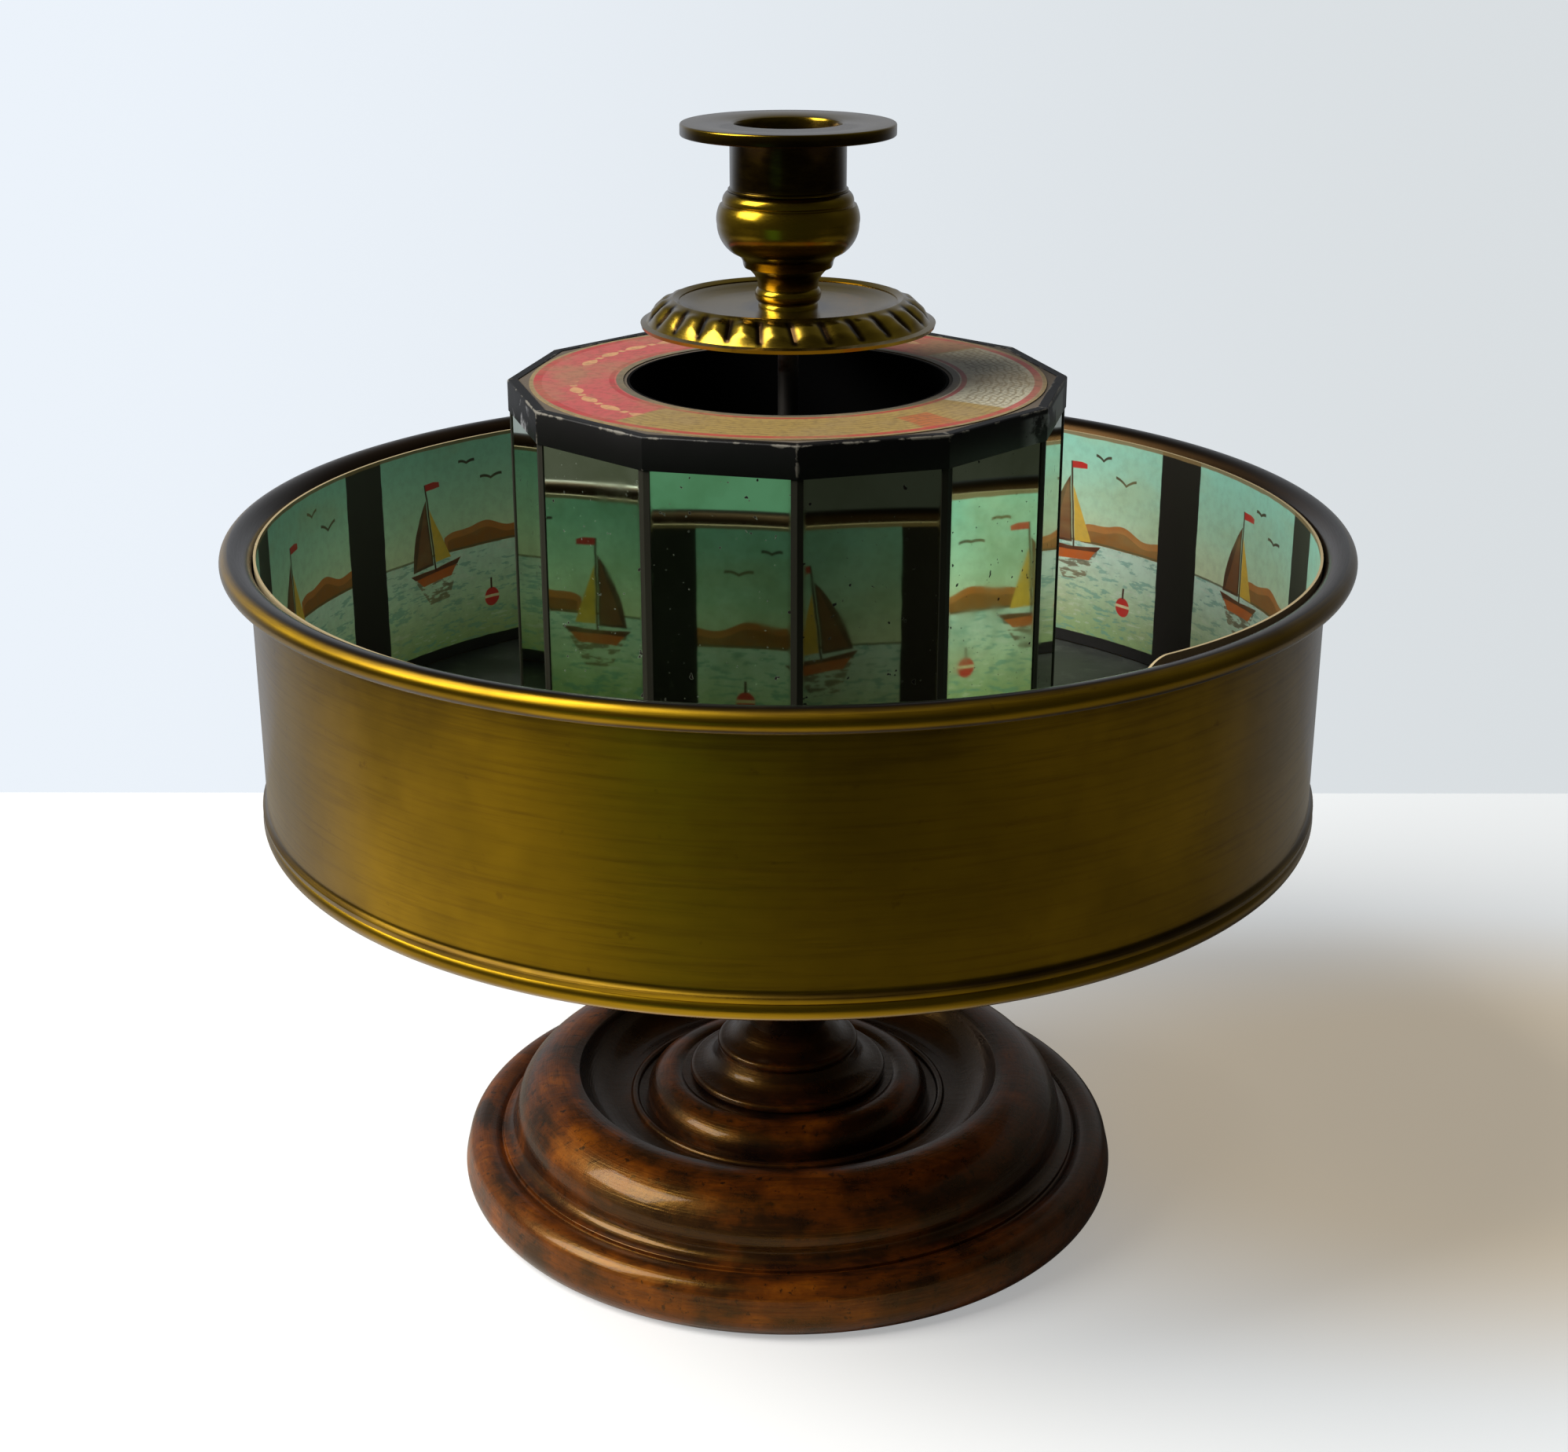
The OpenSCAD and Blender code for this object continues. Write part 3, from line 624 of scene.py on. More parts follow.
# %% Aged brass
def aged_brass(name, tarnish_and_shade, gold=(0.38, 0.222, 0.009), rough=0.36, brushed=0.6, streaks=1.0):
    """Old lacquered brass. Its second argument is a function that gives 1 where the metal is
    nearly black. Tarnish gives most of it; on some pieces painted shade adds to it.
    """
    brass = Recipe(name)
    place = brass.round_place()
    streak = brass.lathe_marks(place, 3.0, 900.0, 5.0, 0.65)
    hair = brass.lathe_marks(place, 16.0, 5200.0, 2.0, 0.7)
    cloud = brass.noise(24.0, 4.0, 0.6)
    spot = brass.noise(260.0, 3.0, 0.6)
    brown = (0.150, 0.076, 0.008)
    tone = brass.blend(brass.step(cloud, 0.30, 0.74), gold, tuple(0.62 * c for c in gold))
    tone = brass.blend(brass.step(streak, 0.44, 0.72) * (0.4 * streaks), tone, brown)
    tone = brass.blend(brass.step(spot, 0.66, 0.76) * 0.4, tone, brown)
    dark = tarnish_and_shade(brass, place) + ((cloud - 0.5) * 0.5 + (streak - 0.5) * 0.25)
    tone = brass.blend(brass.step(dark, 0.30, 0.95), tone, (0.030, 0.016, 0.006))
    gloss = (hair - 0.5) * 0.16 + (cloud - 0.5) * 0.18 + rough
    surface = brass.bump(streak * 0.6 + hair * 0.5 * streaks, 0.16, 0.05)
    tangent = brass.node("ShaderNodeTangent", settings={"direction_type": "RADIAL", "axis": "Z"})
    grazing = brass.node("ShaderNodeLayerWeight", "Facing", Blend=0.5)
    return brass.finish(Base_Color=tone, Metallic=1.0, Roughness=gloss, Normal=surface,
                        Anisotropic=brushed, Tangent=tangent, Coat_IOR=1.65,
                        Coat_Weight=brass.step(grazing, 0.42, 0.74), Coat_Roughness=0.2)


sheet_brass = 0.6
wall_in = 103.9
wall_out = wall_in + sheet_brass
bead_r = 2.3
roll_in = bead_r - sheet_brass
rim_at, rim_z = 107.7, 142.0


def wall_tarnish_and_shade(brass, place):
    """Tarnish that leaves the middle of the wall clean, with painted shade in the crevices by
    the rim and the floor bead, and inside the rim's flared top.
    """
    _, radius, height = place
    # Painted shade: the inside of the rim's flared top, a shaded crevice above the strip, is
    # darkened.
    flare_shade = (brass.step(radius, (rim_at + 2.1) * MM, (rim_at - 0.3) * MM)
             * brass.step(height, (rim_z - 3) * MM, (rim_z - 2) * MM))
    bands = brass.rings(height, (86, 0.1), (90.5, 0.1), (92.4, 0.80), (94.0, 0.30), (98, 0.0),
                        (112, 0.05), (126, 0.27), (137, 0.50), (139.2, 0.70), (140.4, 1.0),
                        (141.2, 0.36), (143.0, 0.34), (144.2, 0.78))
    return brass.most(bands, flare_shade * 1.3)


drum_brass = aged_brass("drum_brass", wall_tarnish_and_shade)

# %% Roll the wall
floor_low, floor_top = 91.4, 92.0
flare_r = rim_at - wall_in
flare_z = rim_z + bead_r - flare_r
cove_r = 1.4
wall_outline = (
    [(wall_in, floor_low), (wall_in, flare_z)]
    + arc(rim_at, flare_z, flare_r, 180, 90, 14)[1:]
    + arc(rim_at, rim_z, bead_r, 90, -132, 30)[1:]
    + arc(rim_at, rim_z, roll_in, -132, 90, 24)
    + arc(rim_at, flare_z, flare_r - sheet_brass, 90, 180, 10)[1:]
    + [(wall_out, floor_top + cove_r)]
    + arc(wall_out + cove_r, floor_top + cove_r, cove_r, 180, 250, 8)[1:]
    + [(wall_out + 0.8, floor_low - 0.2), (wall_out - 0.1, floor_low - 0.05),
       (wall_in, floor_low)])
dress(turned("rolled_wall", wall_outline), "drum", "drum_brass", drum_brass, "drum_wall")

# %% Roll the floor sheet
hub_bore = 7.05
floor_bead_at, floor_bead_z = 103.2, 89.7
floor_outline = (
    [(hub_bore, floor_low), (floor_bead_at, floor_low)]
    + arc(floor_bead_at, floor_bead_z, roll_in, 90, -186, 26)[1:]
    + arc(floor_bead_at, floor_bead_z, bead_r, -186, 90, 34)
    + [(hub_bore, floor_top), (hub_bore, floor_low)])


def floor_paint():
    """Dull black paint, worn through in patches."""
    floor = Recipe("floor_paint")
    scuff = floor.noise(45.0, 5.0, 0.65)
    dust = floor.noise(300.0, 3.0, 0.6)
    wear = floor.step(scuff, 0.40, 0.72)
    tone = floor.blend(wear, (0.020, 0.022, 0.020), (0.060, 0.066, 0.056))
    tone = floor.blend(floor.step(dust, 0.55, 0.75) * 0.4, tone, (0.10, 0.105, 0.09))
    return floor.finish(Base_Color=tone, Roughness=0.42 + wear * 0.2,
                        Normal=floor.bump(scuff + dust * 0.3, 0.2, 0.1))


floor_sheet = turned("rolled_floor", floor_outline)
dress(floor_sheet, "drum", "floor_paint", floor_paint(), "floor_pan")
floor_sheet.data.materials.append(drum_brass)
for face in floor_sheet.data.polygons:
    in_bead = face.center.xy.length > wall_in * MM
    underneath = face.center.z < (floor_low + 0.1) * MM
    face.material_index = 1 if in_bead or underneath else 0

# %% [markdown]
# ## The candle holder
#
# The cup is turned from solid brass, with a wide flange for the wax, a waisted neck and a bulb.
# The pan under it is stamped from sheet: a shallow dish whose edge falls away in a row of bosses
# called gadroons. One boss could be cut out of the dish again and again. It is simpler to model
# one sector of the edge, copy it round, and let the copies meet at the grooves between them.

# %% Turn the cup
cup_low, cup_top = (corner.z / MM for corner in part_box("candle_cup"))
plug_r, plug_z = 3.05, cup_low + 6.3
stem_r = 5.8
bulb_r, bulb_z = 13.6, cup_top - 18.7
neck_out = 11.0
flange_r, flange_under = 20.3, cup_top - 2.3
socket_r, socket_z = 10.0, cup_top - 20.4
cup_outline = (
    [(0, plug_z), (plug_r, plug_z), (plug_r, cup_low), (stem_r, cup_low),
     (stem_r - 0.1, cup_low + 0.7)]
    + arc(stem_r - 1.2, cup_low + 2.5, 1.75, -60, 50, 14)
    + [(stem_r, bulb_z - 11.1), (stem_r + 0.15, bulb_z - 10.5), (stem_r + 0.7, bulb_z - 9.5),
       (stem_r + 1.6, bulb_z - 8.5), (bulb_r - 5.25, bulb_z - 8.1), (bulb_r - 5.1, bulb_z - 7.8),
       (bulb_r - 4.9, bulb_z - 6.8), (bulb_r - 4.5, bulb_z - 6.1), (bulb_r - 3.6, bulb_z - 5.6)]
    + arc(bulb_r - 6.6, bulb_z + 0.1, 6.5, -55, -1, 16)
    + arc(bulb_r - 6, bulb_z + 0.9, 6, -3, 27, 10)
    + [(bulb_r - 1.35, bulb_z + 3.75), (bulb_r - 1.35, bulb_z + 3.95)]
    + arc(bulb_r - 3.3, bulb_z + 4.3, 2.15, -3, 58, 10)
    + arc(neck_out, bulb_z + 6.4, 0.4, -60, 90, 8)
    + [(neck_out, flange_under - 1.0), (neck_out + 0.2, flange_under - 0.6),
       (neck_out + 0.8, flange_under - 0.3), (flange_r - 0.4, flange_under)]
    + arc(flange_r - 0.3, flange_under + 0.3, 0.3, -80, 0, 4)
    + arc(flange_r - 0.4, cup_top - 0.4, 0.4, 0, 90, 5)
    + [(socket_r + 0.8, cup_top), (socket_r + 0.2, cup_top - 0.3), (socket_r, cup_top - 0.8),
       (socket_r, socket_z), (0, socket_z)])
# The cup's darkening follows the light as well as age: its dark bands under the bulb and up the
# neck are painted shade, and the clean band on the bulb, under the window's highlight, is a
# painted highlight.
cup_brass = aged_brass("cup_brass", by_height(
    (186, 0.5), (188, 0.10), (190.4, 0.5), (191.8, 0.85), (194, 0.70), (196.5, 0.85), (199, 0.62),
    (201, 0.45), (203.5, 0.10), (204.8, 0.15), (205.6, 0.5), (206.4, 0.2), (207.6, 0.55),
    (209.5, 0.85), (214, 0.85), (218, 0.9), (219.6, 0.8), (221, 0.5)),
    gold=(0.42, 0.265, 0.015), rough=0.20, brushed=0.3, streaks=0.4)
dress(turned("turned_cup", cup_outline), "holder", "holder_brass", cup_brass, "candle_cup")

# %% Shape one gadroon
pan_top = cup_low
pan_under = pan_top - 0.8
gadroons = 26
slant = math.radians(3.8)
crest_r, crest_z = 22.2, pan_top + 2.0
edge_r, lip = 28.25, 1.1
fall = 4.4 / (edge_r - lip - crest_r)
boss_tall = 1.05
pan_sheet = 0.7
seam_weld = 0.02


def soft(value, start, end):
    """0 before start, 1 after end, smooth between."""
    share = min(1.0, max(0.0, (value - start) / (end - start)))
    return share * share * (3 - 2 * share)


def fall_height(radius):
    """The height of the pan's edge, without its bosses: crest, slope, and a flat lip."""
    if radius < crest_r:
        return crest_z - 0.4 * (crest_r - radius) ** 1.4
    slope_end = edge_r - lip
    return crest_z - (min(radius, slope_end) - crest_r) * fall - max(0, radius - slope_end) * 0.27


def boss_height(across, past):
    """The height of one gadroon, over its width (-1 to 1) and its distance past the crest."""
    lengthwise = soft(past, 0, 2.4) * (1 - soft(past, 3.7, 5.0))
    return boss_tall * math.cos(math.pi / 2 * across) * lengthwise


def gadroon_sector():
    """A stamped sheet, one gadroon wide, from the dish's crest to the pan's edge."""
    on_its_own()
    bpy.ops.mesh.primitive_grid_add(x_subdivisions=14, y_subdivisions=20, size=2)
    sector = bpy.context.object
    half = math.pi / gadroons
    inner = crest_r - 1.3
    for corner in sector.data.vertices:
        across, out = corner.co.x, (corner.co.y + 1) / 2
        radius = inner + (edge_r - inner) * out
        past = max(0.0, radius - crest_r)
        turn = across * half + slant * past / (edge_r - crest_r)
        height = fall_height(radius) + boss_height(across, past)
        corner.co = (radius * math.cos(turn) * MM, radius * math.sin(turn) * MM, height * MM)
    return sector


print("one gadroon is", round(2 * math.pi * edge_r / gadroons, 1), "mm wide at the edge")

# %% Stamp the pan
pan_edge = gadroon_sector()
pan_edge.name = "stamped_edge"
copies = [turn_copy(pan_edge, -2 * math.pi * i / gadroons, f"edge_part_{i}")
          for i in range(1, gadroons)]
on_its_own(pan_edge)
for copy in copies:
    copy.select_set(True)
bpy.ops.object.join()
bpy.ops.object.mode_set(mode="EDIT")
bpy.ops.mesh.select_all(action="SELECT")
bpy.ops.mesh.remove_doubles(threshold=seam_weld * MM)
bpy.ops.mesh.normals_make_consistent(inside=False)
bpy.ops.object.mode_set(mode="OBJECT")
reshape(pan_edge, "SOLIDIFY", thickness=pan_sheet * MM, offset=-1)
smooth(pan_edge, 28)


def pan_tarnish_and_shade(brass, place):
    """Tarnish in rings, with painted shade in the grooves between the gadroons and round the foot
    of the cup.
    """
    angle, radius, _ = place
    past = (radius / MM - crest_r) / (edge_r - crest_r)
    lobe = (angle - math.pi / 2 - past * slant) * (gadroons / (2 * math.pi)) + 0.5
    # Painted shade: the grooves between the gadroons are darkened.
    groove_shade = abs(lobe - brass.maths("FLOOR", lobe) - 0.5) * 2.0
    on_edge = brass.rings(radius, (22.0, 0), (23.2, 1), (26.6, 1), (27.3, 0))
    rings = brass.rings(radius, (0, 0.5), (7, 0.75), (10, 0.4), (16, 0.3), (20.0, 0.55),
                        (22.0, 0.35), (25, 0.2), (28.3, 0.1))
    return rings + brass.step(groove_shade, 0.45, 0.95) * on_edge * 0.75


dish_outline = [
    (plug_r, pan_under), (15.6, pan_under), (17.2, pan_top - 0.65), (19.4, pan_top + 0.1),
    (21.2, pan_top + 0.75), (21.4, pan_top + 1.3), (20.6, pan_top + 1.2), (19.2, pan_top + 0.75),
    (17.4, pan_top + 0.2), (15.9, pan_top), (plug_r, pan_top), (plug_r, pan_under)]
pan_brass = aged_brass("pan_brass", pan_tarnish_and_shade, gold=(0.40, 0.262, 0.026), rough=0.22,
                       brushed=0.1, streaks=0.3)
dish = turned("stamped_dish", dish_outline)
dish.data.materials.append(pan_brass)
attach(dish, "holder")
dress(pan_edge, "holder", "holder_brass", pan_brass, "drip_pan")

# %% [markdown]
# ## The mirrors
#
# Twelve plates of silvered glass are glued to a card drum. Each is a plain plate, so one is
# modelled and the others are turned copies. The silvering is old: it is a little green, it has
# specks where it has flaked, and it is clouded near its edges. Clear glass over a metal face
# would cost far more light paths, so one metallic face with a green tint stands for both.

# %% Silver the glass
def silvered(name):
    """Old mirror silver, with specks, and clouded toward the plate's edges by its own UVs."""
    glass = Recipe(name)
    bearing = glass.round_place()[0]
    across, along, _ = glass.split(glass.node("ShaderNodeTexCoord", "UV"))
    side = abs(across - 0.5) * 2.0
    end = abs(along - 0.5) * 2.0
    cloud = glass.noise(60.0, 4.0, 0.6)
    ripple = glass.noise(26.0, 2.0, 0.5)
    speck = glass.noise(420.0, 2.0, 0.7)
    fine = glass.noise(1500.0, 1.0, 0.5)
    edge = glass.most(glass.step(side + cloud * 0.16, 0.98, 1.12),
                      glass.step(end + cloud * 0.05, 0.985, 1.04))
    foot = glass.step(along + cloud * 0.22, 0.17, 0.12) * glass.step(ripple, 0.47, 0.50)
    flaked = glass.most(glass.step(speck + edge * 0.08, 0.690, 0.715),
                        glass.step(fine, 0.76, 0.79) * 0.7, foot)
    tint = glass.blend(glass.step(cloud, 0.35, 0.70), (0.70, 0.85, 0.67), (0.53, 0.66, 0.47))
    tint = glass.blend(glass.step(along + cloud * 0.4, 0.78, 0.36) * 0.7, tint,
                       (0.66, 0.74, 0.42))
    # Painted shade: the plates on either side of the front are darkened, for the shaded part of
    # the strip that they show.
    for mirror_shade_at, strength in ((0.29, 0.62), (-0.23, 0.28)):
        mirror_shade = glass.step(abs(bearing - mirror_shade_at), 0.31, 0.24)
        tint = glass.blend(mirror_shade * strength, tint, (0.24, 0.25, 0.16))
    tint = glass.blend(edge * 0.7, tint, (0.20, 0.20, 0.13))
    tint = glass.blend(flaked, tint, (0.015, 0.012, 0.010))
    haze = 0.035 + edge * 0.25 + glass.step(cloud, 0.52, 0.75) * 0.07
    return glass.finish(Base_Color=tint, Metallic=1.0 - flaked * 0.9, Roughness=haze,
                        Normal=glass.bump(ripple, 0.25, 0.12))


mirror_silver = silvered("mirror_silver")

# %% Paper, card and ground glass
def card(name, tone, pale, wear=0.62, gloss=0.5, shine=0.5):
    """A matt sheet: a tone with soft stains, and paler where it is rubbed."""
    sheet = Recipe(name)
    stain = sheet.noise(55.0, 5.0, 0.6)
    fibre = sheet.noise(900.0, 3.0, 0.6)
    rubbed = sheet.step(stain * 0.6 + fibre * 0.4, wear, wear + 0.08)
    face = sheet.blend(rubbed, tone, pale)
    face = sheet.blend(fibre * 0.25, face, tuple(0.6 * c for c in tone))
    return sheet.finish(Base_Color=face, Roughness=gloss + stain * 0.2, Specular_IOR_Level=shine,
                        Normal=sheet.bump(fibre + stain * 2.0, 0.3, 0.08))


glass_edge = card("glass_edge", (0.05, 0.09, 0.07), (0.12, 0.18, 0.14), gloss=0.2)

# %% Cut and copy the plates
mirrors = 12
prism_turn = math.radians(1.7)
prism_r = 53.7
glass_face = prism_r * math.cos(math.pi / mirrors)
glass_thick = 2.0
glass_gap = 0.1
glass_bevel = 0.25
glass_wide = 2 * (glass_face - glass_thick) * math.tan(math.pi / mirrors) - glass_gap
plate_low, plate_high = (corner.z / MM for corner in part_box("mirror_01"))


def plate(name):
    """The first plate, standing across the X axis, with its ground edges bevelled."""
    on_its_own()
    bpy.ops.mesh.primitive_cube_add(size=MM, calc_uvs=True)
    piece = bpy.context.object
    piece.name = piece.data.name = name
    bpy.ops.object.mode_set(mode="EDIT")
    bpy.ops.mesh.select_all(action="SELECT")
    bpy.ops.transform.resize(value=(glass_thick, glass_wide, plate_high - plate_low))
    bpy.ops.transform.translate(
        value=((glass_face - glass_thick / 2) * MM, 0, (plate_low + plate_high) / 2 * MM))
    bpy.ops.mesh.bevel(offset=glass_bevel * MM, segments=2)
    bpy.ops.object.mode_set(mode="OBJECT")
    return piece


def lay_uv(piece, across, along):
    """Give the plate UVs from 0 to 1 over its face."""
    layer = piece.data.uv_layers.active
    for loop in piece.data.loops:
        corner = piece.data.vertices[loop.vertex_index].co / MM
        layer.data[loop.index].uv = (corner.y / across + 0.5, (corner.z - plate_low) / along)


pattern = plate("plate_pattern")
lay_uv(pattern, glass_wide, plate_high - plate_low)
pattern.data.materials.append(mirror_silver)
pattern.data.materials.append(glass_edge)
for face in pattern.data.polygons:
    face.material_index = 0 if face.normal.x > 0.9 else 1
for i in range(mirrors):
    turn = prism_turn + math.pi / mirrors * (2 * i + 1)
    made = turn_copy(pattern, turn, f"silvered_plate_{i + 1:02d}")
    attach(made, "drum")
    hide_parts(f"mirror_{i + 1:02d}")
bpy.data.objects.remove(pattern)
print("mirrors:", mirrors, "each", round(glass_wide, 1), "mm wide")

# %% [markdown]
# ## The picture strip
#
# The strip holds twelve small pictures that differ a little, one for each mirror. Here a boat
# rocks on the water while gulls fly past. An image would be the quick way, but the picture can
# also be a formula: each shape is a test on the distance along the strip and the height on it,
# and the number of the frame moves the boat.

# %% Roll the strip
strip_in, strip_thick = 103.1, 0.5
strip_middle = strip_in + strip_thick / 2
strip_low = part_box("picture_strip")[0].z / MM
strip_tall = 50.2
strip_start = math.radians(-54.8)
strip_turn = math.radians(360 - 0.8)
strip_rise = 1.8
rise_turn = math.radians(44)
corner_r = 1.9


def open_strip(name, steps=288, rows=8):
    """A standing sheet round the drum, with a narrow gap between its ends."""
    piece = one_point(name, (strip_middle * MM * math.cos(strip_start),
                             strip_middle * MM * math.sin(strip_start), strip_low * MM))
    for _ in range(rows):
        draw_on(0, strip_tall / rows * MM)
    bpy.ops.mesh.select_all(action="SELECT")
    bpy.ops.mesh.spin(steps=steps, angle=-strip_turn, center=(0, 0, 0), axis=(0, 0, 1))
    bpy.ops.object.mode_set(mode="OBJECT")
    return piece


def lift_end(piece):
    """Raise the upper edge of the loose end, less and less along its rise."""
    top = (strip_low + strip_tall - 0.001) * MM
    for corner in piece.data.vertices:
        along = math.atan2(corner.co.y, corner.co.x) - strip_start
        if corner.co.z > top and 0 <= along < rise_turn:
            corner.co.z += strip_rise * MM * (1 - along / rise_turn)


picture_strip = open_strip("picture_strip_card")
lift_end(picture_strip)
last = picture_strip.data.vertices[-1].co
print("strip ends at", round(math.degrees(math.atan2(last.y, last.x)), 1), "degrees")

# %% Round the loose corner and thicken the card
on_its_own(picture_strip)
corner = max(picture_strip.data.vertices, key=lambda vertex: vertex.co.z)
print("loose corner stands", round(corner.co.z / MM - strip_low, 1), "mm above the strip's foot")
loose_corner = corner.index
bpy.ops.object.mode_set(mode="EDIT")
bpy.ops.mesh.select_mode(type="VERT")
bpy.ops.mesh.select_all(action="DESELECT")
bpy.ops.object.mode_set(mode="OBJECT")
picture_strip.data.vertices[loose_corner].select = True
bpy.ops.object.mode_set(mode="EDIT")
bpy.ops.mesh.bevel(offset=corner_r * MM, segments=5, affect="VERTICES")
bpy.ops.object.mode_set(mode="OBJECT")
reshape(picture_strip, "SOLIDIFY", thickness=strip_thick * MM, offset=0)

# %% [markdown]
# ## Printing the pictures
#
# The strip is printed in soft, flat inks, turquoise, ochre and brown, with black bars between
# the pictures. The formulas below work in millimetres from the middle of each picture, and each
# gives layers of ink: where it lies, its colour, and its strength if it isn't full.

# %% Inks
class Print(Recipe):
    """Flat inks laid one over another, with edges as soft as old printing."""

    def inside(self, *distances):
        """1 where every distance is above zero, with an edge a fifth of a millimetre wide."""
        made = self.step(distances[0], -0.10, 0.12)
        for distance in distances[1:]:
            made = made * self.step(distance, -0.10, 0.12)
        return made

    def line(self, distance, half):
        """1 on a thin line, where the distance is near zero."""
        return self.step(abs(distance), half + 0.12, half - 0.08)

    def over(self, picture, *layers):
        """Lay inks over a picture, each as (where, colour) or (where, colour, strength)."""
        for where, tone, *strength in layers:
            share = where * strength[0] if strength else where
            picture = self.blend(share, picture, colour(*tone))
        return picture


frame_wide = 2 * math.pi * strip_middle / mirrors
bar_wide = 12.6
foot_tall = 2.7
picture_middle = math.radians(18)
horizon = 25.0


class StripPrint(Print):
    """The strip's inks, with x and y from the middle of each picture and from the strip's foot."""

    def __init__(self, name):
        super().__init__(name)
        self.angle, _, height = self.round_place()
        wobble = self.noise(210.0, 2.0, 0.5)
        turns = (self.angle - picture_middle) / (2 * math.pi) * mirrors + 0.5
        number = self.maths("FLOOR", turns)
        self.x = (turns - number - 0.5) * frame_wide + (wobble - 0.5) * 0.5
        self.y = height / MM - strip_low + (wobble - 0.5) * 0.4
        self.phase = number * (2 * math.pi / mirrors)
        self.bob = self.maths("SINE", self.phase)
        self.grain = self.noise(520.0, 3.0, 0.6)
        self.wash = self.noise(34.0, 4.0, 0.55, self.stretched((1, 1, 2.2)))
        self.ripples = self.noise(1.0, 3.0, 0.6, self.joined(self.angle * 26.0, height * 900.0,
                                                             number * 3.1))


print("frame:", round(frame_wide, 2), "mm wide, with a bar of", bar_wide, "mm")

# %% Draw the sea, the land and the boat
mast_tall = 20.5


def sky_and_water(p):
    """A green sky over pale water, with ripples that differ from frame to frame."""
    sky = p.ramp(p.step(p.y + p.wash * 9.0, 22.0, 56.0), (0.0, colour(222, 226, 184)),
                 (0.45, colour(186, 222, 190)), (1.0, colour(146, 208, 188)))
    water = p.ramp(p.step(p.y + p.wash * 6.0, 3.0, 30.0), (0.0, colour(150, 178, 118)),
                   (0.5, colour(192, 216, 180)), (1.0, colour(204, 230, 214)))
    water = p.over(water, (p.step(p.ripples, 0.54, 0.60), (92, 158, 148), 0.55),
                   (p.step(p.ripples, 0.40, 0.36), (222, 230, 214), 0.35))
    return p.blend(p.inside(p.y - horizon), water, sky)


def headland(p):
    """A hill with a strip of beach, and the line of the horizon."""
    hill = (p.maths("SINE", p.x * 0.16 + 2.2) * 2.2 + p.maths("SINE", p.x * 0.55 + 1.0) * 0.5
            - p.x * 0.16)
    rise = p.y - horizon
    return [(p.inside(rise + 0.3, hill + 2.0 - rise, 2.0 - p.x), (186, 112, 48)),
            (p.inside(rise + 0.3, hill + 0.4 - rise, 1.0 - p.x), (150, 92, 34)),
            (p.line(rise, 0.22), (92, 84, 48), 0.8)]


def boat(p):
    """A boat that rocks with the number of the frame, drawn in its own leaning frame."""
    lean = p.maths("COSINE", p.phase) * 0.12
    from_x = p.x - 4.5 + p.bob * 0.8
    from_y = p.y - 22.0 - p.bob * 1.1
    x = from_x + from_y * lean
    y = from_y - from_x * lean
    side = abs(x)
    sheer = 0.35 - y + side * 0.07
    shadow = p.inside(-0.4 - y, y + 7.5, 7.0 + y * 0.55 - side) * p.step(p.ripples, 0.46, 0.52)
    hull = p.inside(y + 2.6, sheer, 6.6 + y * 0.9 - side)
    rail = p.inside(y + 0.45, sheer, 6.9 + y - side)
    main_sail = p.inside(x - 0.4, y - 1.4, 8.2 - x - y * 0.36 - (y - 8.0) * (y - 8.0) * 0.02)
    sail_light = p.inside(x - 0.9, y - 2.0, 6.6 - x - y * 0.36)
    fore_sail = p.inside(-0.3 - x, y - 1.8, 5.6 + x - y * 0.36)
    mast = p.line(x, 0.22) * p.inside(y, mast_tall - y)
    pennant = p.inside(-0.1 - x, y - 18.9, mast_tall - y, x + 4.2, 1.6 + x * 0.3 - (y - 19.7))
    return [(shadow, (112, 78, 42), 0.75), (hull, (196, 96, 34)), (rail, (96, 44, 18)),
            (main_sail, (84, 48, 26)), (sail_light, (128, 78, 44), 0.8),
            (fore_sail, (222, 178, 62)), (mast, (60, 32, 16)), (pennant, (188, 40, 34))]


print("boat: a mast of", mast_tall, "mm on a strip of", strip_tall, "mm")

# %% Draw the gulls, the buoy and the edges
def gulls(p):
    """Two gulls that beat their wings and drift from frame to frame."""
    flap = p.maths("COSINE", p.phase * 3.0) * 0.28
    layers = []
    for gull_x, gull_y, span in ((-11.5, 40.0, 3.0), (-4.8, 44.6, 2.2)):
        out = abs(p.x - gull_x - p.bob * 1.3)
        wing = out * (0.62 + flap) - out * out * (0.4 / span)
        layers.append((p.line(p.y - gull_y - wing, 0.30) * p.inside(span - out), (58, 52, 40)))
    return layers


def buoy(p):
    """A red buoy with a pale stripe and a short pole."""
    x, y = p.x + 11.0, p.y - 12.2 - p.maths("SINE", p.phase + 2.0) * 0.8
    return [(p.inside(2.0 - p.maths("SQRT", x * x + y * y * 0.8)), (204, 44, 40)),
            (p.line(y - 0.2, 0.3) * p.inside(2.0 - abs(x)), (236, 214, 170)),
            (p.line(x, 0.25) * p.inside(y - 2.0, 4.6 - y), (70, 30, 20))]


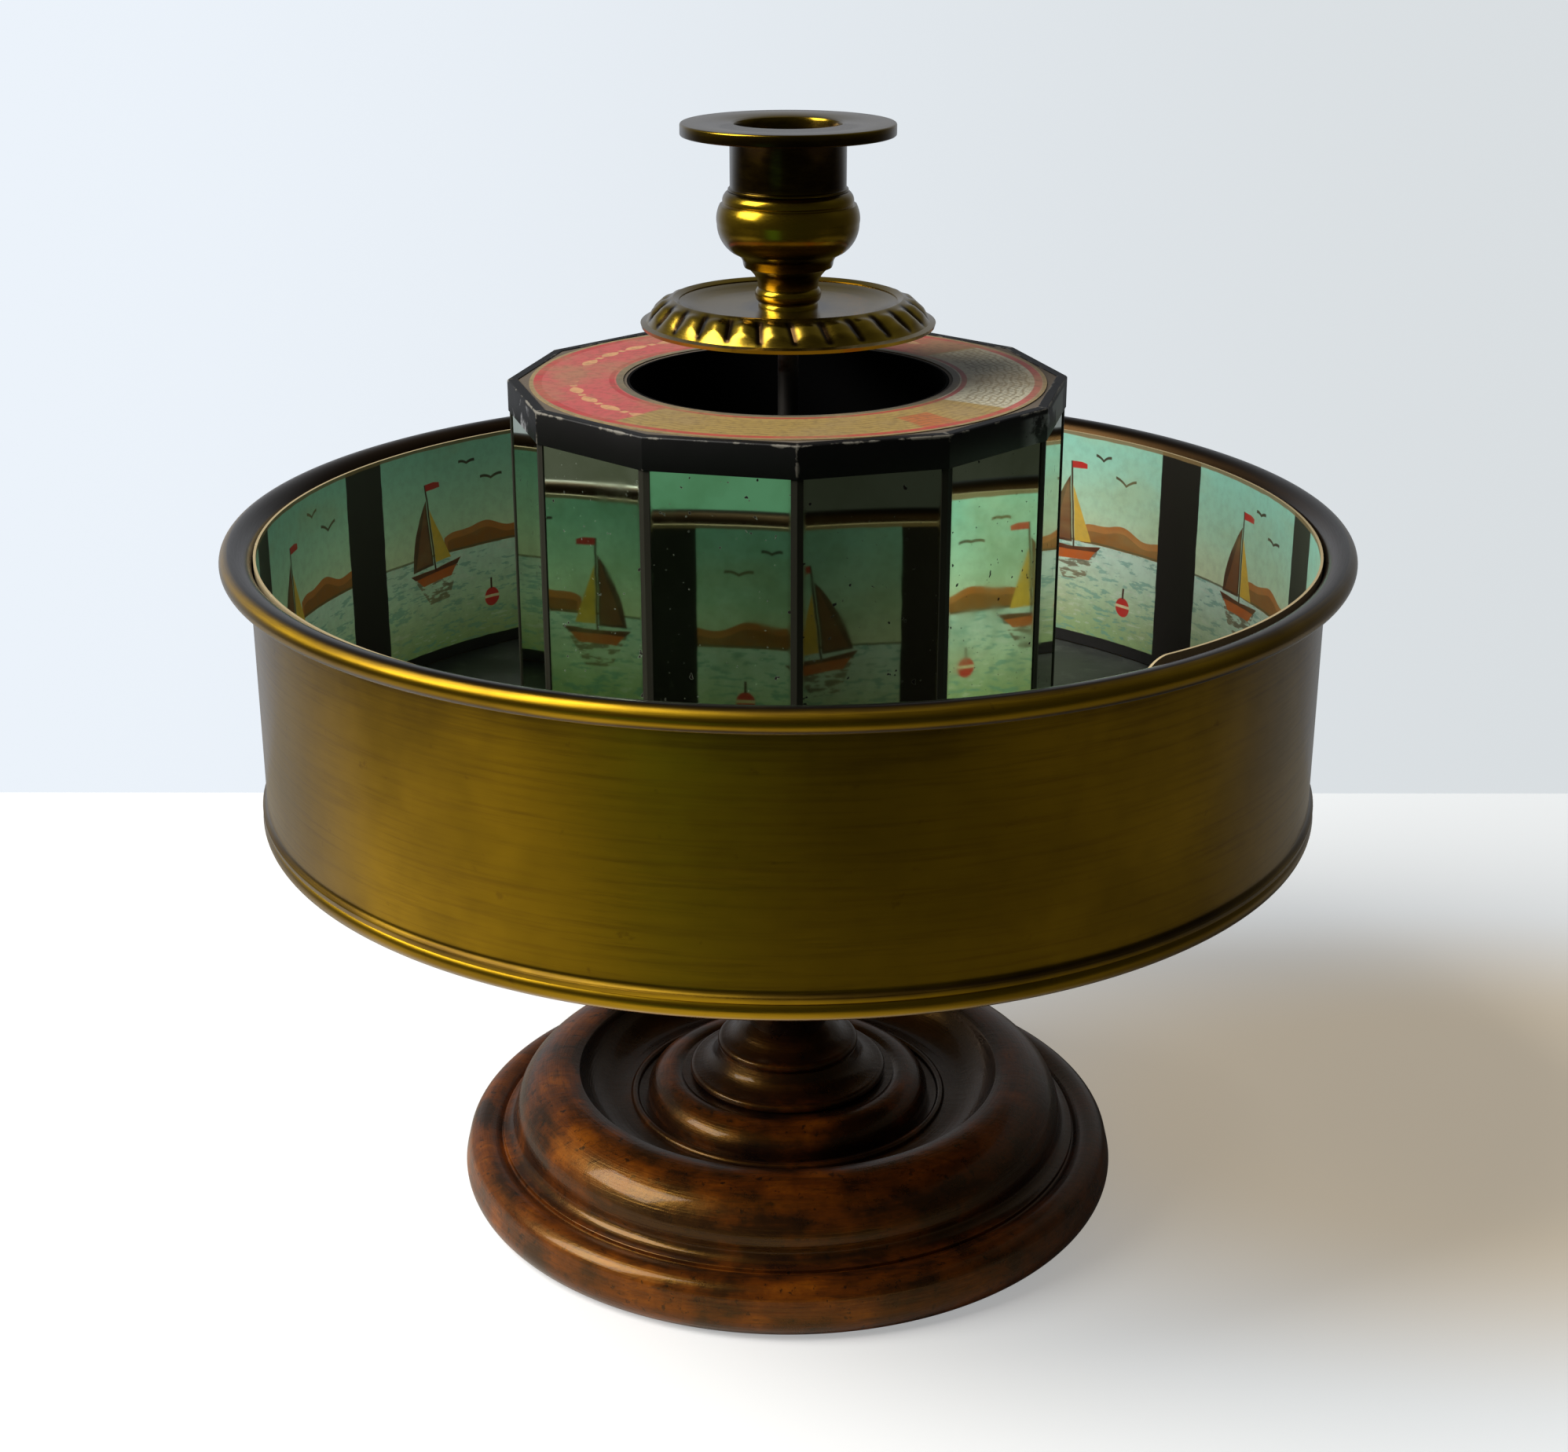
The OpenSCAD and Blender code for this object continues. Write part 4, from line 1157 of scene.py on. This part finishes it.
def age_and_bars(p):
    """Yellowing and grain, painted shade on the front right of the strip, then the bars, the
    black foot and the worn upper edge.
    """
    # Painted shade: the strip is darkened round its front right, where it lies in shade.
    painted_front_shade = p.step(abs(p.angle - 0.55) + p.wash * 0.3, 0.80, 0.42)
    return [(p.step(p.wash, 0.42, 0.75), (186, 178, 118), 0.35),
            (p.step(p.grain, 0.35, 0.75), (92, 96, 78), 0.16),
            (painted_front_shade, (40, 38, 22), 0.5),
            (p.inside(abs(p.x) - (frame_wide - bar_wide) / 2), (24, 17, 12)),
            (p.inside(foot_tall - p.y), (18, 15, 12)),
            (p.inside(p.y - strip_tall + 0.55 + p.wash * 0.5), (128, 104, 66), 0.9)]


def printed_strip():
    p = StripPrint("printed_strip")
    picture = p.over(sky_and_water(p), *headland(p), *boat(p), *gulls(p), *buoy(p),
                     *age_and_bars(p))
    return p.finish(Base_Color=picture, Roughness=0.48, Specular_IOR_Level=0.4,
                    Normal=p.bump(p.grain + p.wash, 0.15, 0.05), Coat_Weight=0.15,
                    Coat_Roughness=0.35)


picture_strip.data.materials.append(printed_strip())
picture_strip.data.materials.append(
    card("strip_back", colour(176, 158, 120), colour(214, 200, 160), gloss=0.6))
for face in picture_strip.data.polygons:
    outward = face.normal.xy.dot(face.center.xy)
    face.material_index = 0 if outward < -0.5 * face.center.xy.length else 1
smooth(picture_strip, 30)
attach(picture_strip, "strip")
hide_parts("picture_strip")
print("strip:", len(picture_strip.data.polygons), "faces")

# %% [markdown]
# ## The cap
#
# A black paper band folds over the prism's edge, and a printed ring lies inside it. The band is
# spun like the turned pieces, but in twelve steps, which gives it its corners. Its folds are
# rubbed grey. The ring carries coloured fields, rules and leaf ornaments, as old labels do.

# %% Fold the cap band
band_thick, band_lip = 0.45, 1.6
fold_r = 0.12
cap_low, cap_high = (corner.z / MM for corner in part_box("cap_band"))
board_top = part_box("cap_label")[0].z / MM
to_corner = 1 / math.cos(math.pi / mirrors)
band_in, band_out = glass_face * to_corner, (glass_face + band_thick) * to_corner
fold_in = (glass_face - band_lip) * to_corner
band_outline = [(fold_in, board_top), (fold_in + 0.1, cap_high), (band_out - 0.25, cap_high),
                (band_out, cap_high - 0.25), (band_out, cap_low), (band_in, cap_low),
                (band_in, board_top), (fold_in, board_top)]
cap_fold = turned("folded_cap_band", band_outline, steps=mirrors)
turn_mesh(cap_fold, prism_turn)
reshape(cap_fold, "BEVEL", width=fold_r * MM, segments=2, limit_method="ANGLE",
        angle_limit=math.radians(20))


def flat_place(recipe, angle, radius):
    """On a twelve-sided piece: the distance from the axis to the flat, and 1 at its corners."""
    turns = (angle - math.pi / 2 - prism_turn) * (mirrors / (2 * math.pi))
    local = turns - recipe.maths("FLOOR", turns) - 0.5
    flat = radius * recipe.maths("COSINE", local * (2 * math.pi / mirrors))
    return flat, abs(local) * 2.0


def band_paper():
    """Black paper, rubbed grey along its folds and at its corners, and chipped in front."""
    sheet = Recipe("band_paper")
    angle, radius, height = sheet.round_place()
    flat, corner = flat_place(sheet, angle, radius)
    scuff = sheet.noise(160.0, 5.0, 0.7)
    crease = sheet.noise(30.0, 3.0, 0.5)
    fold_line = (sheet.step(flat, (glass_face + 0.05) * MM, (glass_face + 0.35) * MM)
                 * sheet.step(height, (cap_high - 0.9) * MM, (cap_high - 0.2) * MM))
    inner_line = sheet.step(flat, (glass_face - 0.9) * MM, (glass_face - 1.5) * MM)
    rub = sheet.most(fold_line, inner_line * 0.6, sheet.step(corner, 0.955, 0.995) * 0.8)
    worn = sheet.step(scuff + rub * 0.16, 0.62, 0.72) * rub
    side = abs(angle + 0.10)
    chipped = (sheet.step(side, 1.02, 1.12) * sheet.step(side, 1.66, 1.56)
               * sheet.step(crease + scuff * 0.4, 0.66, 0.72)
               * sheet.step(height, (cap_high - 0.8) * MM, (cap_high - 1.4) * MM))
    tone = sheet.blend(worn * 0.7, (0.0025, 0.0022, 0.0022), (0.26, 0.24, 0.20))
    tone = sheet.blend(chipped * 0.85, tone, (0.40, 0.40, 0.42))
    return sheet.finish(Base_Color=tone, Roughness=0.38 + scuff * 0.12, Specular_IOR_Level=0.28,
                        Normal=sheet.bump(scuff * 0.4 + crease * 2.0, 0.35, 0.25))


dress(cap_fold, "drum", "black_paper", band_paper(), "cap_band")

# %% Print the ring on the cap
leaf_row_r = 41.5
leaf_beat = 5.0


def printed_ring():
    """Coloured fields round the ring, with rules, dots and a row of small leaves."""
    p = Print("printed_ring")
    angle, radius, _ = p.round_place()
    r = radius / MM
    stain = p.noise(60.0, 4.0, 0.6)
    grain = p.noise(700.0, 3.0, 0.6)
    a = angle + (p.noise(90.0, 2.0, 0.5) - 0.5) * 0.05
    left = p.step(a, -0.70, -0.72) * p.step(a, -2.62, -2.60)
    right = p.step(a, 0.98, 1.0) * p.step(a, 2.2, 2.18)
    back = p.most(p.step(a, 2.2, 2.22), p.step(a, -2.60, -2.62))
    patch = p.step(a, 0.52, 0.54) * p.step(a, 0.72, 0.70) * p.inside(r - 38.5)

    beat = a * leaf_beat
    along = (beat - p.maths("FLOOR", beat) - 0.5) * (leaf_row_r / leaf_beat)
    off_row = abs(r - leaf_row_r)
    leaf = p.inside(1.3 - off_row - along * along * 0.14)
    dot = p.inside(abs(along) - 3.5) * p.inside(0.7 - off_row)
    leaves = p.most(leaf, dot) * p.step(stain, 0.62, 0.50)

    rules = p.step(p.maths("SINE", (r + p.maths("SINE", a * 34.0) * 0.35) * 4.4), 0.3, 0.8)
    dots = p.step(p.maths("SINE", a * 150.0) * p.maths("SINE", r * 3.4), 0.25, 0.6)
    picture = p.over(
        p.blend(left, colour(162, 136, 80), colour(186, 88, 86)),
        (back, (178, 92, 84), 0.8), (right, (192, 186, 162)), (patch, (176, 104, 62)),
        (leaves * left, (214, 180, 120), 0.6), (leaves * back, (214, 186, 130), 0.45),
        (rules * (1.0 - left) * p.inside(r - 36.2, 47 - r), (120, 98, 48), 0.45),
        (dots * right * p.inside(r - 36.5, 46.6 - r), (96, 88, 70), 0.5),
        (p.inside(33.2 - r), (104, 98, 82)), (p.line(r - 34.0, 0.5), (168, 56, 60), 0.85),
        (p.line(r - 48.2, 0.75), (176, 62, 62), 0.85), (p.inside(r - 49.0), (150, 130, 92)),
        (p.step(stain, 0.42, 0.70), (150, 128, 92), 0.6),
        (p.step(grain, 0.42, 0.70), (96, 78, 60), 0.35))
    return p.finish(Base_Color=picture, Roughness=0.5, Specular_IOR_Level=0.35,
                    Normal=p.bump(grain + stain * 2.0, 0.25, 0.08))


paint(printed_ring(), "cap_label")

# %% [markdown]
# ## The plain pieces
#
# What is left is small or half hidden: paper bands, card, brass fittings and the steel spindle.
# Their construction shapes are already right, so modelling them again would add nothing. They
# keep their shapes and only take a finish, made with the recipes above.

# %% Dress the plain pieces
def spindle_steel():
    """Old turned steel with a bloom of rust."""
    steel = Recipe("spindle_steel")
    angle, radius, height = steel.round_place()
    turning = steel.noise(1.0, 3.0, 0.6,
                          steel.joined(angle * 3.0, radius * 900.0, height * 2500.0))
    rust = steel.noise(180.0, 4.0, 0.6)
    tone = steel.blend(steel.step(rust, 0.55, 0.72), (0.11, 0.10, 0.09), (0.06, 0.03, 0.015))
    return steel.finish(Base_Color=tone, Metallic=0.9, Roughness=0.34 + rust * 0.2,
                        Normal=steel.bump(turning, 0.2, 0.05))


black_paper = card("black_paper", (0.003, 0.003, 0.003), (0.08, 0.075, 0.065), wear=0.68,
                   gloss=0.4, shine=0.2)
tape_paper = card("tape_paper", (0.016, 0.015, 0.008), (0.10, 0.10, 0.06), shine=0.3)
tube_paper = card("tube_paper", (0.0015, 0.0015, 0.0015), (0.003, 0.003, 0.003), wear=0.6,
                  gloss=0.9, shine=0.1)
grey_card = card("grey_card", (0.12, 0.095, 0.07), (0.22, 0.18, 0.13), gloss=0.7)
bronze = aged_brass("bronze", by_height((84, 0.3), (102, 0.3)), gold=(0.42, 0.24, 0.08))
plain_brass = aged_brass("plain_brass", by_radius((0, 0.4), (10, 0.15), (60, 0.3)),
                         gold=(0.50, 0.36, 0.07))
# The ferrule is darkened all over: painted shade for the dark space under the pan.
ferrule_brass = aged_brass("ferrule_brass", by_radius((0, 1.0), (10, 1.0)), rough=0.5)

paint(black_paper, "base_band")
paint(tape_paper, "corner_tapes")
paint(tube_paper, "inner_tube")
paint(grey_card, "prism_core", "cap_board")
paint(bronze, "hub_bush")
paint(plain_brass, "hub", "hub_rivets", "thrust_collar")
paint(ferrule_brass, "holder_ferrule")
paint(spindle_steel(), "spindle", "spindle_washer", "spindle_nut", "rim_wire")
